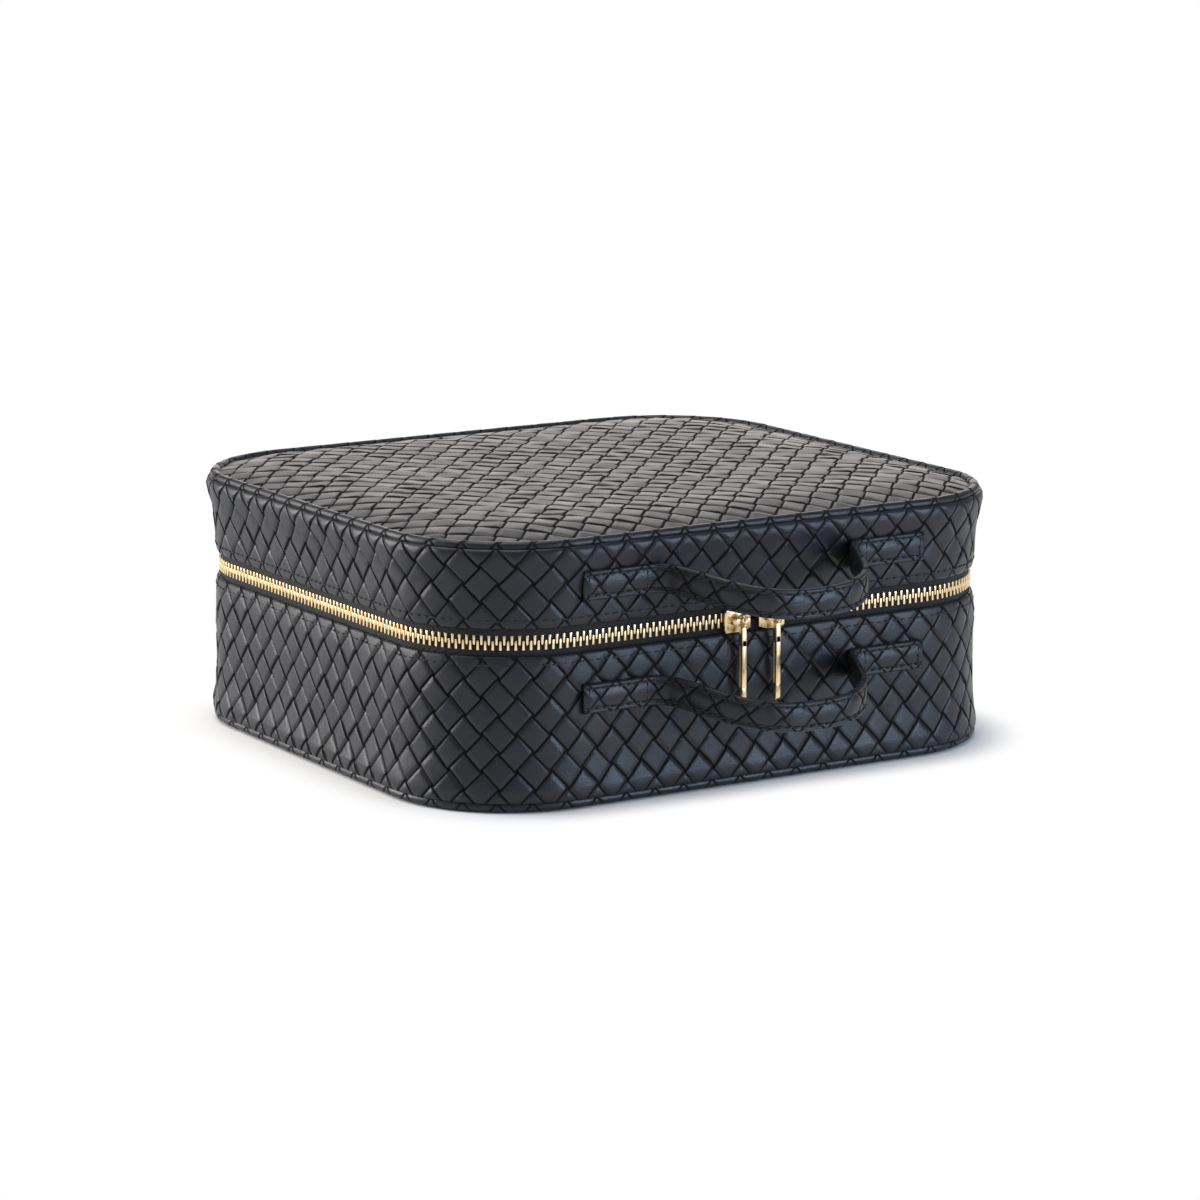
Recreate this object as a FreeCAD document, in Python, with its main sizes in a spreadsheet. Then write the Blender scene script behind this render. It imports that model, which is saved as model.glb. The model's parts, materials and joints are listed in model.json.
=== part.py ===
import FreeCAD, Part
import math
import os

from FreeCAD import Placement, Rotation, Vector
import Sketcher

# Zip-round jewellery case in woven leather, in millimetres.
# X runs along the front, the handles and zip sliders face -Y, the case stands on z = 0 and +Z is up.

DRIVING_SIZES = {
    # Outer form, measured on the face of the leather wall.
    "case_width": 240.0,
    "case_depth": 220.0,
    "case_height": 96.0,
    "corner_radius": 47.0,
    "zip_height": 60.0,
    # Layers of a wall, from the outside in.
    "cover_thickness": 1.6,
    "tape_thickness": 0.8,
    "board_thickness": 2.0,
    "lining_thickness": 1.2,
    "pad_thickness": 3.0,
    # Rims, where the wall leather swells out to its seam with a panel.
    "rim_flare": 3.0,
    "rim_seam_flare": 2.0,
    "rim_widest": 7.0,
    "rim_start": 12.0,
    "piping_diameter": 4.0,
    "piping_out": 0.3,
    "seam_gap": 0.1,
    "panel_drop": 2.0,
    # Zip.
    "zip_gap": 11.0,
    "tape_width": 12.8,
    "tape_edge_gap": 3.4,
    "tooth_pitch": 2.6,
    "tooth_root_width": 1.2,
    "tooth_tip_width": 0.8,
    "tooth_reach": 3.4,
    "tooth_mesh": 0.9,
    "tooth_thickness": 2.4,
    "chain_parted": 6.5,
    # Zip sliders and their pulls.
    "slider_length": 11.0,
    "slider_spacing": 14.5,
    "slider_nose_height": 9.2,
    "slider_tail_height": 7.4,
    "slider_plate": 1.0,
    "slider_clearance": 0.3,
    "tape_slot": 1.3,
    "flange_height": 0.8,
    "diamond_length": 2.2,
    "diamond_height": 2.0,
    "bridge_clear": 2.6,
    "bridge_bar": 1.0,
    "bridge_width": 2.2,
    "bridge_length": 8.0,
    "pull_length": 27.0,
    "pull_width": 5.0,
    "pull_thickness": 2.2,
    "pull_neck": 3.0,
    "eye_radius": 1.6,
    "eye_wall": 1.2,
    "pull_slot_width": 1.4,
    "pull_slot_length": 12.0,
    "pull_slot_start": 9.0,
    # Handles.
    "strap_width": 10.5,
    "strap_thickness": 3.0,
    "strap_half_span": 45.0,
    "strap_patch": 27.0,
    "strap_bow": 40.0,
    "strap_root_radius": 6.0,
    "strap_bend_radius": 24.0,
    "strap_angle": 66.0,
    "lid_handle_rise": 19.0,
    "base_handle_drop": 21.0,
    # Hinge at the back.
    "hinge_half_width": 70.0,
    "hinge_overlap": 9.0,
    # Fittings inside.
    "divider_thickness": 3.0,
    "divider_height": 30.0,
    "ring_bay_half": 60.0,
    "compartment_half": 34.0,
    "ring_roll_diameter": 18.0,
    "ring_roll_gap": 0.4,
    "fitting_gap": 0.3,
    "mirror_width": 150.0,
    "mirror_depth": 126.0,
    "mirror_radius": 16.0,
    "mirror_thickness": 2.0,
    "frame_width": 8.0,
    "frame_thickness": 3.0,
    "frame_gap": 0.2,
}

doc = FreeCAD.newDocument("JewelleryCase")
sheet = doc.addObject("Spreadsheet::Sheet", "Sizes")
for row, (alias, size) in enumerate(DRIVING_SIZES.items(), start=1):
    sheet.set(f"A{row}", alias)
    sheet.set(f"B{row}", str(size))
    sheet.setAlias(f"B{row}", alias)
doc.recompute()


def size_of(alias):
    """The number in one cell of the sheet."""
    return float(sheet.get(alias))


def bound(text):
    """An expression on the sheet's cells: each driving size is written by its alias alone."""
    words = []
    word = ""
    for letter in text + " ":
        if letter.isalnum() or letter == "_":
            word += letter
            continue
        words.append(f"Sizes.{word}" if word in DRIVING_SIZES else word)
        words.append(letter)
        word = ""
    return "".join(words).strip()


def number(text):
    """The value that an expression on the sheet has now."""
    return float(sheet.evalExpression(bound(text)))


# Depths below the outer face of the wall.
TAPE_FACE = "cover_thickness"
TAPE_MIDDLE = "(cover_thickness + tape_thickness / 2)"
BOARD_FACE = "(cover_thickness + tape_thickness)"
LINING_FACE = "(cover_thickness + tape_thickness + board_thickness)"
ROOM_FACE = "(cover_thickness + tape_thickness + board_thickness + lining_thickness)"

# Heights.
BASE_EDGE = "(zip_height - zip_gap / 2)"
LID_EDGE = "(zip_height + zip_gap / 2)"
FLOOR_BOARD = "cover_thickness"
FLOOR_PAD = "(cover_thickness + board_thickness)"
FLOOR = "(cover_thickness + board_thickness + pad_thickness)"
BASE_SEAM = "(cover_thickness + piping_diameter / 2 + piping_diameter / 2 + 2 * seam_gap)"
LID_SEAM = "(case_height - piping_diameter)"
PANEL_FACE = "(case_height - panel_drop)"
TOP_BOARD = "(case_height - panel_drop - cover_thickness - board_thickness)"
CEILING = "(case_height - panel_drop - cover_thickness - board_thickness - pad_thickness)"
SEWN_TAPE = "(tape_width + tape_edge_gap - zip_gap / 2)"


def new_body(label):
    """An empty body that becomes one sub-part."""
    body = doc.addObject("PartDesign::Body", label)
    body.Label = label
    return body


def plane_sketch(body, role, height="0"):
    """A sketch on one of the body's origin planes, moved along that plane's normal."""
    sketch = body.newObject("Sketcher::SketchObject", body.Label + "_sketch")
    plane = [feature for feature in body.Origin.OriginFeatures if feature.Role == role][0]
    sketch.AttachmentSupport = [(plane, "")]
    sketch.MapMode = "FlatFace"
    sketch.setExpression("AttachmentOffset.Base.z", bound(height))
    return sketch


def dimension(sketch, kind, picks, text, name):
    """A driving constraint whose value follows an expression."""
    index = sketch.addConstraint(Sketcher.Constraint(kind, *picks, number(text)))
    sketch.renameConstraint(index, name)
    sketch.setExpression("Constraints." + name, bound(text))


def rounded_loop(sketch, half_width, half_depth, radius, name):
    """A centred rectangle with round corners, drawn as four lines and four arcs."""
    w, d, r = number(half_width), number(half_depth), number(radius)
    ends = [(-w + r, -d, w - r, -d), (w, -d + r, w, d - r), (w - r, d, -w + r, d), (-w, d - r, -w, -d + r)]
    centres = [(w - r, -d + r), (w - r, d - r), (-w + r, d - r), (-w + r, -d + r)]
    lines = []
    arcs = []
    for side, (x0, y0, x1, y1) in enumerate(ends):
        lines.append(sketch.addGeometry(Part.LineSegment(Vector(x0, y0, 0), Vector(x1, y1, 0)), False))
        circle = Part.Circle(Vector(*centres[side], 0), Vector(0, 0, 1), r)
        start = math.radians(90 * side - 90)
        arcs.append(sketch.addGeometry(Part.ArcOfCircle(circle, start, start + math.pi / 2), False))
    for side in range(4):
        sketch.addConstraint(Sketcher.Constraint("Tangent", lines[side], 2, arcs[side], 1))
        sketch.addConstraint(Sketcher.Constraint("Tangent", arcs[side], 2, lines[(side + 1) % 4], 1))
        sketch.addConstraint(Sketcher.Constraint("Horizontal" if side % 2 == 0 else "Vertical", lines[side]))
        if side:
            sketch.addConstraint(Sketcher.Constraint("Equal", arcs[0], arcs[side]))
    dimension(sketch, "DistanceX", (-1, 1, lines[1], 1), half_width, name + "_right")
    dimension(sketch, "DistanceX", (lines[3], 1, -1, 1), half_width, name + "_left")
    dimension(sketch, "DistanceY", (-1, 1, lines[2], 1), half_depth, name + "_back")
    dimension(sketch, "DistanceY", (lines[0], 1, -1, 1), half_depth, name + "_front")
    dimension(sketch, "Radius", (arcs[0],), radius, name + "_corner")


def wall_loop(sketch, outward, name):
    """The case's rounded outline, moved outward from the face of the leather wall."""
    half_width = f"case_width / 2 + {outward}"
    half_depth = f"case_depth / 2 + {outward}"
    rounded_loop(sketch, half_width, half_depth, f"corner_radius + {outward}", name)


def corner_loop(sketch, corners, name):
    """A closed outline of straight edges through corners given as pairs of expressions."""
    places = [Vector(number(x), number(y), 0) for x, y in corners]
    count = len(places)
    edges = [
        sketch.addGeometry(Part.LineSegment(places[i], places[(i + 1) % count]), False) for i in range(count)
    ]
    for i in range(count):
        sketch.addConstraint(Sketcher.Constraint("Coincident", edges[i], 2, edges[(i + 1) % count], 1))
    for i, (x, y) in enumerate(corners):
        dimension(sketch, "DistanceX", (-1, 1, edges[i], 1), x, f"{name}_{i}_x")
        dimension(sketch, "DistanceY", (-1, 1, edges[i], 1), y, f"{name}_{i}_y")


def pad(body, sketch, length, both_ways=False):
    """Raises a sketch into a solid along its normal, or half each way."""
    feature = body.newObject("PartDesign::Pad", body.Label + "_pad")
    feature.Profile = sketch
    feature.setExpression("Length", bound(length))
    feature.Midplane = both_ways
    body.Tip = feature
    return feature


def cut_down(body, sketch, depth=None):
    """Cuts a sketch down into the body, right through where no depth is given."""
    doc.recompute()
    feature = body.newObject("PartDesign::Pocket", body.Label + "_pocket")
    feature.Profile = sketch
    if depth is None:
        feature.Type = "ThroughAll"
    else:
        feature.setExpression("Length", bound(depth))
    body.Tip = feature
    return feature


def wall_panel(label, outward, bottom, thickness):
    """A flat panel with the case's rounded outline."""
    body = new_body(label)
    sketch = plane_sketch(body, "XY_Plane", bottom)
    wall_loop(sketch, outward, "edge")
    pad(body, sketch, thickness)
    return body


def wall_ring(label, outer_depth, thickness, bottom, height):
    """An upright band that follows the wall, at a depth below its face."""
    body = new_body(label)
    sketch = plane_sketch(body, "XY_Plane", bottom)
    wall_loop(sketch, f"(0 - {outer_depth})", "outside")
    wall_loop(sketch, f"(0 - {outer_depth} - {thickness})", "inside")
    pad(body, sketch, height)
    return body


def wall_cover(label, seam, widest, straight, edge, tape_end):
    """The leather round one half: straight by the zip, then swelling out to its rim and in to the seam.

    The band is hollowed to the boards, and further by the zip, where the tape is sewn behind it.
    """
    body = new_body(label)
    sections = []
    for height, outward in ((seam, "rim_seam_flare"), (widest, "rim_flare"), (straight, "0"), (edge, "0")):
        sketch = plane_sketch(body, "XY_Plane", height)
        wall_loop(sketch, outward, "edge")
        sections.append(sketch)
    doc.recompute()
    loft = body.newObject("PartDesign::AdditiveLoft", label + "_loft")
    loft.Profile = sections[0]
    loft.Sections = sections[1:]
    loft.Ruled = True
    body.Tip = loft
    top = edge if number(edge) > number(seam) else seam
    hollow = plane_sketch(body, "XY_Plane", top)
    wall_loop(hollow, f"(0 - {BOARD_FACE})", "hollow")
    cut_down(body, hollow)
    tape_top = edge if number(edge) > number(seam) else tape_end
    recess = plane_sketch(body, "XY_Plane", tape_top)
    wall_loop(recess, f"(0 - {TAPE_FACE})", "recess")
    cut_down(body, recess, SEWN_TAPE)
    return body


def piping(label, height):
    """A leather welt along the seam of a rim, its round section drawn with eight flats."""
    path = doc.addObject("Sketcher::SketchObject", label + "_path")
    path.setExpression("Placement.Base.z", bound(height))
    wall_loop(path, "piping_out", "edge")
    section = doc.addObject("Sketcher::SketchObject", label + "_section")
    section.Placement = Placement(Vector(0, 0, 0), Rotation(Vector(0, 1, 0), -90))
    section.setExpression("Placement.Base.y", bound("0 - case_depth / 2 - piping_out"))
    section.setExpression("Placement.Base.z", bound(height))
    flats = [math.radians(45 * side + 22.5) for side in range(8)]
    corners = [
        (f"piping_diameter / 2 * {math.cos(turn):.5f}", f"piping_diameter / 2 * {math.sin(turn):.5f}") for turn in flats
    ]
    corner_loop(section, corners, "round")
    doc.recompute()
    welt = doc.addObject("Part::Sweep", label)
    welt.Label = label
    welt.Sections = [section]
    welt.Spine = (path, [f"Edge{i + 1}" for i in range(len(path.Shape.Edges))])
    welt.Solid = True
    return welt


def zip_tape(label, bottom):
    """One half of the zip's woven tape, behind the leather, broken at the back by the hinge."""
    body = wall_ring(label, TAPE_FACE, "tape_thickness", bottom, "tape_width")
    gap = plane_sketch(body, "XY_Plane", f"{bottom} + tape_width")
    half = "(hinge_half_width + seam_gap)"
    front, back = "case_depth / 2 - corner_radius / 2", "case_depth / 2 + cover_thickness"
    corner_loop(gap, [(f"0 - {half}", front), (half, front), (half, back), (f"0 - {half}", back)], "gap")
    cut_down(body, gap)
    return body


def chain_frame(distance):
    """Place and heading on the zip's line, at a distance to the right of the middle of the front."""
    depth = number(TAPE_MIDDLE)
    radius = size_of("corner_radius") - depth
    half_front = size_of("case_width") / 2 - size_of("corner_radius")
    half_side = size_of("case_depth") / 2 - size_of("corner_radius")
    front = -size_of("case_depth") / 2 + depth
    side = size_of("case_width") / 2 - depth
    corner = radius * math.pi / 2
    if distance <= half_front:
        return distance, front, 0.0
    distance -= half_front
    if distance <= corner:
        turn = distance / radius
        return half_front + radius * math.sin(turn), front + radius * (1 - math.cos(turn)), turn
    distance -= corner
    if distance <= 2 * half_side:
        return side, -half_side + distance, math.pi / 2
    distance -= 2 * half_side
    turn = distance / radius
    return half_front + radius * math.cos(turn), half_side + radius * math.sin(turn), math.pi / 2 + turn


def chain_length():
    """The zip's length from the middle of the front to its end, half way round a rear corner."""
    radius = size_of("corner_radius") - number(TAPE_MIDDLE)
    half_front = size_of("case_width") / 2 - size_of("corner_radius")
    side = size_of("case_depth") - 2 * size_of("corner_radius")
    return half_front + side + radius * math.pi * 3 / 4


def one_tooth(upward):
    """A metal tooth on the tape's edge: a wedge, widest where it is crimped on."""
    reach, mesh = size_of("tooth_reach"), size_of("tooth_mesh")
    root, tip = size_of("tooth_root_width") / 2, size_of("tooth_tip_width") / 2
    half = size_of("tooth_thickness") / 2
    corners = [(-root, reach), (root, reach), (tip, -mesh), (-tip, -mesh)]
    if not upward:
        corners = [(x, -z) for x, z in reversed(corners)]
    outline = Part.makePolygon([Vector(x, -half, z) for x, z in corners + corners[:1]])
    return Part.Face(outline).extrude(Vector(0, 2 * half, 0))


def zip_teeth(label, side, upward):
    """The teeth on one half of one tape, as separate solids set along the chain."""
    tooth = one_tooth(upward)
    pitch = size_of("tooth_pitch")
    step = pitch if upward else pitch / 2
    teeth = []
    distance = step + pitch * math.ceil((size_of("chain_parted") - step) / pitch)
    while distance < chain_length():
        x, y, turn = chain_frame(distance)
        place = Placement(Vector(side * x, y, size_of("zip_height")), Rotation(Vector(0, 0, 1), math.degrees(side * turn)))
        teeth.append(tooth.transformGeometry(place.toMatrix()))
        distance += pitch
    feature = doc.addObject("Part::Feature", label)
    feature.Label = label
    feature.Shape = Part.makeCompound(teeth)
    return feature


def strap_line(offset):
    """The strap's line seen from above, moved outward from its middle: lines and arcs, left end to right."""
    angle = math.radians(size_of("strap_angle"))
    half = size_of("strap_thickness") / 2
    root = size_of("strap_root_radius") + half - offset
    bend = size_of("strap_bend_radius") + offset
    mid_root, mid_bend = size_of("strap_root_radius") + half, size_of("strap_bend_radius")
    rise = size_of("strap_bow") - size_of("strap_thickness")
    slope = (rise - (mid_root + mid_bend) * (1 - math.cos(angle))) / math.sin(angle)
    out, along = Vector(0, -1, 0), Vector(1, 0, 0)
    wall = Vector(0, -size_of("case_depth") / 2 - half, 0)
    span, patch = size_of("strap_half_span"), size_of("strap_patch")
    root_centre = wall - along * span + out * mid_root
    root_end = mid_root * math.sin(angle) + slope * math.cos(angle)
    bend_centre = wall - along * (span - root_end - mid_bend * math.sin(angle)) + out * (rise - mid_bend)

    def on(centre, radius, turn):
        return centre + along * (radius * math.sin(turn)) + out * (radius * math.cos(turn))

    points = [wall - along * (span + patch) + out * offset]
    points += [on(root_centre, root, math.pi - turn) for turn in (0, angle / 2, angle)]
    points += [on(bend_centre, bend, -angle + turn) for turn in (0, angle / 2, angle)]
    return points


def handle(label, height):
    """A padded leather strap, its two ends sewn flat to the front and its middle bowed out."""
    half = size_of("strap_thickness") / 2
    edges = []
    for offset in (half, -half):
        left = strap_line(offset)
        right = [Vector(-p.x, p.y, p.z) for p in reversed(left)]
        for points in (left, right):
            start = 0 if points is left else 3
            line = (points[0], points[1]) if points is left else (points[5], points[6])
            slope = (points[3], points[4]) if points is left else (points[2], points[3])
            edges.append(Part.LineSegment(*line).toShape())
            edges.append(Part.LineSegment(*slope).toShape())
            for first in (1, 4) if points is left else (0, 3):
                edges.append(Part.Arc(*points[first:first + 3]).toShape())
        edges.append(Part.LineSegment(left[6], right[0]).toShape())
    outer, inner = strap_line(half), strap_line(-half)
    for sign in (1, -1):
        ends = [Vector(sign * p.x, p.y, p.z) for p in (outer[0], inner[0])]
        edges.append(Part.LineSegment(*ends).toShape())
    outline = Part.Wire(Part.__sortEdges__(edges))
    strap = Part.Face(outline).extrude(Vector(0, 0, size_of("strap_width")))
    feature = doc.addObject("Part::Feature", label)
    feature.Label = label
    feature.Shape = strap
    feature.setExpression("Placement.Base.z", bound(f"{height} - strap_width / 2"))
    return feature


CHAIN_FACE = "(tooth_thickness / 2 + slider_clearance)"
PLATE_FACE = "(tooth_thickness / 2 + slider_clearance + slider_plate)"
BAR_MIDDLE = "(tooth_thickness / 2 + slider_clearance + slider_plate + bridge_clear + bridge_bar / 2)"


def slider(label, side):
    """A zip slider: two plates joined by the diamond at the nose, flanges under the chain and a bridge.

    It runs on the base's half of the chain and is open above, so that the lid's half lifts out of it.
    """
    body = new_body(label)
    body.setExpression("Placement.Base.x", bound(f"{side} * slider_spacing / 2"))
    body.setExpression("Placement.Base.y", bound(f"{TAPE_MIDDLE} - case_depth / 2"))
    body.setExpression("Placement.Base.z", bound("zip_height"))
    nose, tail = f"{-side} * slider_length / 2", f"{side} * slider_length / 2"
    shoulder = f"{-side} * slider_length / 6"
    nose_half, tail_half = "slider_nose_height / 2", "slider_tail_height / 2"

    def plate_outline(name, normal_shift):
        sketch = plane_sketch(body, "XZ_Plane", normal_shift)
        corners = [
            (nose, f"0 - {nose_half} + flange_height"),
            (shoulder, f"0 - {nose_half}"),
            (tail, f"0 - {nose_half}"),
            (tail, tail_half),
            (shoulder, nose_half),
            (nose, f"{nose_half} - flange_height"),
        ]
        corner_loop(sketch, corners, name)
        return sketch

    pad(body, plate_outline("front", CHAIN_FACE), "slider_plate")
    diamond = plane_sketch(body, "XZ_Plane", f"0 - {PLATE_FACE}")
    inner = f"{-side} * (slider_length / 2 - diamond_length)"
    corner_loop(
        diamond,
        [(nose, "0 - diamond_height / 2"), (inner, "0"), (nose, "diamond_height / 2")],
        "diamond",
    )
    pad(body, diamond, f"2 * {PLATE_FACE}")
    pad(body, plate_outline("back", f"0 - {PLATE_FACE}"), "slider_plate")
    for name, start in (("front_flange", "tape_slot / 2"), ("back_flange", f"0 - {PLATE_FACE}")):
        flange = plane_sketch(body, "XZ_Plane", start)
        low = f"0 - {nose_half}"
        high = f"{low} + flange_height"
        corner_loop(flange, [(shoulder, low), (tail, low), (tail, high), (shoulder, high)], name)
        pad(body, flange, f"{PLATE_FACE} - tape_slot / 2")
    bridge = plane_sketch(body, "XY_Plane")
    foot, knee = "bridge_length / 2", "(bridge_length / 2 - bridge_bar)"
    base, crown = f"0 - {CHAIN_FACE} - slider_plate / 2", f"0 - {BAR_MIDDLE} - bridge_bar / 2"
    under, bevel = f"0 - {PLATE_FACE} - bridge_clear", f"0 - {BAR_MIDDLE} + bridge_bar"
    corners = [
        (foot, base),
        (foot, bevel),
        (knee, crown),
        (f"0 - {knee}", crown),
        (f"0 - {foot}", bevel),
        (f"0 - {foot}", base),
        (f"0 - {knee}", base),
        (f"0 - {knee}", under),
        (knee, under),
        (knee, base),
    ]
    corner_loop(bridge, corners, "bridge")
    pad(body, bridge, "bridge_width", both_ways=True)
    return body


def pull(label, side):
    """A pull tab that hangs on the slider's bridge by a round eye, with a slot down its middle."""
    body = new_body(label)
    body.setExpression("Placement.Base.x", bound(f"{side} * slider_spacing / 2"))
    body.setExpression("Placement.Base.y", bound(f"{TAPE_MIDDLE} - case_depth / 2 - {BAR_MIDDLE}"))
    body.setExpression("Placement.Base.z", bound("zip_height"))
    half, neck, ring = "pull_width / 2", "pull_neck / 2", "(eye_radius + eye_wall)"
    tab = plane_sketch(body, "YZ_Plane")
    end = "0 - pull_length"
    corners = [
        (f"0 - {neck}", "0 - eye_radius"),
        (f"0 - {half}", "0 - eye_radius - pull_width"),
        (f"0 - {half}", end),
        (half, end),
        (half, "0 - eye_radius - pull_width"),
        (neck, "0 - eye_radius"),
    ]
    corner_loop(tab, corners, "tab")
    pad(body, tab, "pull_thickness", both_ways=True)
    eye = plane_sketch(body, "YZ_Plane")
    circle = eye.addGeometry(Part.Circle(Vector(0, 0, 0), Vector(0, 0, 1), number(ring)))
    eye.addConstraint(Sketcher.Constraint("Coincident", circle, 3, -1, 1))
    dimension(eye, "Radius", (circle,), ring, "ring")
    pad(body, eye, "pull_thickness", both_ways=True)
    bore = plane_sketch(body, "YZ_Plane", "pull_thickness / 2")
    hole = bore.addGeometry(Part.Circle(Vector(0, 0, 0), Vector(0, 0, 1), number("eye_radius")))
    bore.addConstraint(Sketcher.Constraint("Coincident", hole, 3, -1, 1))
    dimension(bore, "Radius", (hole,), "eye_radius", "bore")
    cut_down(body, bore)
    slot = plane_sketch(body, "YZ_Plane", "pull_thickness / 2")
    narrow, start = "pull_slot_width / 2", "0 - pull_slot_start"
    stop = "0 - pull_slot_start - pull_slot_length"
    corner_loop(slot, [(f"0 - {narrow}", stop), (narrow, stop), (narrow, start), (f"0 - {narrow}", start)], "slot")
    cut_down(body, slot)
    return body


def upright(label, corners, height="divider_height"):
    """A straight wall that stands on the padded floor."""
    body = new_body(label)
    sketch = plane_sketch(body, "XY_Plane", FLOOR)
    corner_loop(sketch, corners, "foot")
    pad(body, sketch, height)
    return body


def box_corners(low_x, high_x, low_y, high_y):
    """The four corners of a rectangle, as expressions."""
    return [(low_x, low_y), (high_x, low_y), (high_x, high_y), (low_x, high_y)]


def pair(label, low_x, high_x, middle_y):
    """Two like walls across one side of the base, set at equal distances before and behind the middle."""
    half = "divider_thickness / 2"
    walls = []
    for sign in ("", "0 - "):
        corners = box_corners(low_x, high_x, f"{sign}{middle_y} - {half}", f"{sign}{middle_y} + {half}")
        wall = doc.addObject("Part::Box", f"{label}_{len(walls)}")
        for cell, text in (("Length", f"{high_x} - ({low_x})"), ("Width", "divider_thickness"), ("Height", "divider_height")):
            wall.setExpression(cell, bound(text))
        for cell, text in (("x", low_x), ("y", corners[0][1]), ("z", FLOOR)):
            wall.setExpression("Placement.Base." + cell, bound(text))
        walls.append(wall)
    group = doc.addObject("Part::Compound", label)
    group.Label = label
    group.Links = walls
    return group


def ring_rolls(label, left, right):
    """Foam rolls laid side by side from front to back, as many as the ring bay takes."""
    pitch = size_of("ring_roll_diameter") + size_of("ring_roll_gap")
    room = 2 * size_of("ring_bay_half") - size_of("divider_thickness") - size_of("ring_roll_gap")
    count = int(room // pitch)
    rolls = []
    for index in range(count):
        roll = doc.addObject("Part::Cylinder", f"{label}_{index}")
        roll.Placement = Placement(Vector(0, 0, 0), Rotation(Vector(0, 1, 0), 90))
        roll.setExpression("Radius", bound("ring_roll_diameter / 2"))
        roll.setExpression("Height", bound(f"{right} - ({left})"))
        place = f"(ring_roll_diameter + ring_roll_gap) * ({index} - {(count - 1) / 2})"
        for cell, text in (("x", left), ("y", place), ("z", f"{FLOOR} + ring_roll_diameter / 2")):
            roll.setExpression("Placement.Base." + cell, bound(text))
        rolls.append(roll)
    group = doc.addObject("Part::Compound", label)
    group.Label = label
    group.Links = rolls
    return group


def mirror_plate(label, outward, low, thickness, inward=None):
    """The mirror's rounded plate, or with an inner outline the frame round it."""
    body = new_body(label)
    sketch = plane_sketch(body, "XY_Plane", low)
    rounded_loop(
        sketch,
        f"mirror_width / 2 + {outward}",
        f"mirror_depth / 2 + {outward}",
        f"mirror_radius + {outward}",
        "outside",
    )
    if inward is not None:
        rounded_loop(
            sketch,
            f"mirror_width / 2 + {inward}",
            f"mirror_depth / 2 + {inward}",
            f"mirror_radius + {inward}",
            "inside",
        )
    pad(body, sketch, thickness)
    return body


def hinge_panel(label):
    """The leather strip at the back that joins the lid to the base and bends when the lid opens."""
    body = new_body(label)
    sketch = plane_sketch(body, "XY_Plane", f"{BASE_EDGE} - hinge_overlap")
    outer, inner = f"case_depth / 2 - {TAPE_FACE}", f"case_depth / 2 - {BOARD_FACE}"
    corner_loop(sketch, box_corners("0 - hinge_half_width", "hinge_half_width", inner, outer), "strip")
    pad(body, sketch, "zip_gap + 2 * hinge_overlap")
    return body


INSIDE = f"(case_width / 2 - {ROOM_FACE})"
HALF_WALL = "divider_thickness / 2"

sub_parts = [
    # Base.
    wall_panel("base_bottom_cover", "(piping_out - piping_diameter / 2 - seam_gap)", "0", "cover_thickness"),
    piping("base_piping", "piping_diameter / 2 + 2 * seam_gap"),
    wall_cover(
        "base_wall_cover",
        BASE_SEAM,
        "rim_widest",
        "rim_start",
        BASE_EDGE,
        BASE_EDGE,
    ),
    wall_panel("base_floor_board", f"(0 - {BOARD_FACE})", FLOOR_BOARD, "board_thickness"),
    wall_ring("base_wall_board", BOARD_FACE, "board_thickness", FLOOR_PAD, f"{BASE_EDGE} - {FLOOR_PAD}"),
    wall_ring("base_lining", LINING_FACE, "lining_thickness", FLOOR_PAD, f"{BASE_EDGE} - {FLOOR_PAD}"),
    wall_panel("base_floor_pad", f"(0 - {ROOM_FACE})", FLOOR_PAD, "pad_thickness"),
    zip_tape("base_zip_tape", "(zip_height - tape_edge_gap - tape_width)"),
    zip_teeth("base_zip_teeth_left", -1, False),
    zip_teeth("base_zip_teeth_right", 1, False),
    handle("base_handle", "zip_height - base_handle_drop"),
    hinge_panel("hinge_panel"),
    upright(
        "centre_divider",
        box_corners(f"0 - {HALF_WALL}", HALF_WALL, f"{ROOM_FACE} - case_depth / 2", f"case_depth / 2 - {ROOM_FACE}"),
    ),
    pair("ring_bay_dividers", f"0 - {INSIDE}", f"0 - {HALF_WALL}", "ring_bay_half"),
    pair("compartment_dividers", HALF_WALL, INSIDE, "compartment_half"),
    ring_rolls("ring_rolls", f"fitting_gap - {INSIDE}", f"0 - {HALF_WALL} - fitting_gap"),
    # Lid.
    wall_panel("lid_top_cover", "(piping_out - piping_diameter / 2 - seam_gap)", f"{PANEL_FACE} - cover_thickness", "cover_thickness"),
    piping("lid_piping", "case_height - piping_diameter / 2"),
    wall_cover(
        "lid_wall_cover",
        LID_SEAM,
        "case_height - rim_widest",
        "case_height - rim_start",
        LID_EDGE,
        f"{LID_EDGE} + {SEWN_TAPE}",
    ),
    wall_panel("lid_top_board", f"(0 - {BOARD_FACE})", TOP_BOARD, "board_thickness"),
    wall_ring("lid_wall_board", BOARD_FACE, "board_thickness", LID_EDGE, f"{TOP_BOARD} - {LID_EDGE}"),
    wall_ring("lid_lining", LINING_FACE, "lining_thickness", LID_EDGE, f"{TOP_BOARD} - {LID_EDGE}"),
    wall_panel("lid_top_pad", f"(0 - {ROOM_FACE})", CEILING, "pad_thickness"),
    zip_tape("lid_zip_tape", "(zip_height + tape_edge_gap)"),
    zip_teeth("lid_zip_teeth_left", -1, True),
    zip_teeth("lid_zip_teeth_right", 1, True),
    handle("lid_handle", "zip_height + lid_handle_rise"),
    mirror_plate("mirror", "0", f"{CEILING} - mirror_thickness", "mirror_thickness"),
    mirror_plate("mirror_frame", "frame_width", f"{CEILING} - frame_thickness", "frame_thickness", "frame_gap"),
    # Zip runners.
    slider("slider_left", -1),
    slider("slider_right", 1),
    pull("pull_left", -1),
    pull("pull_right", 1),
]

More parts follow.
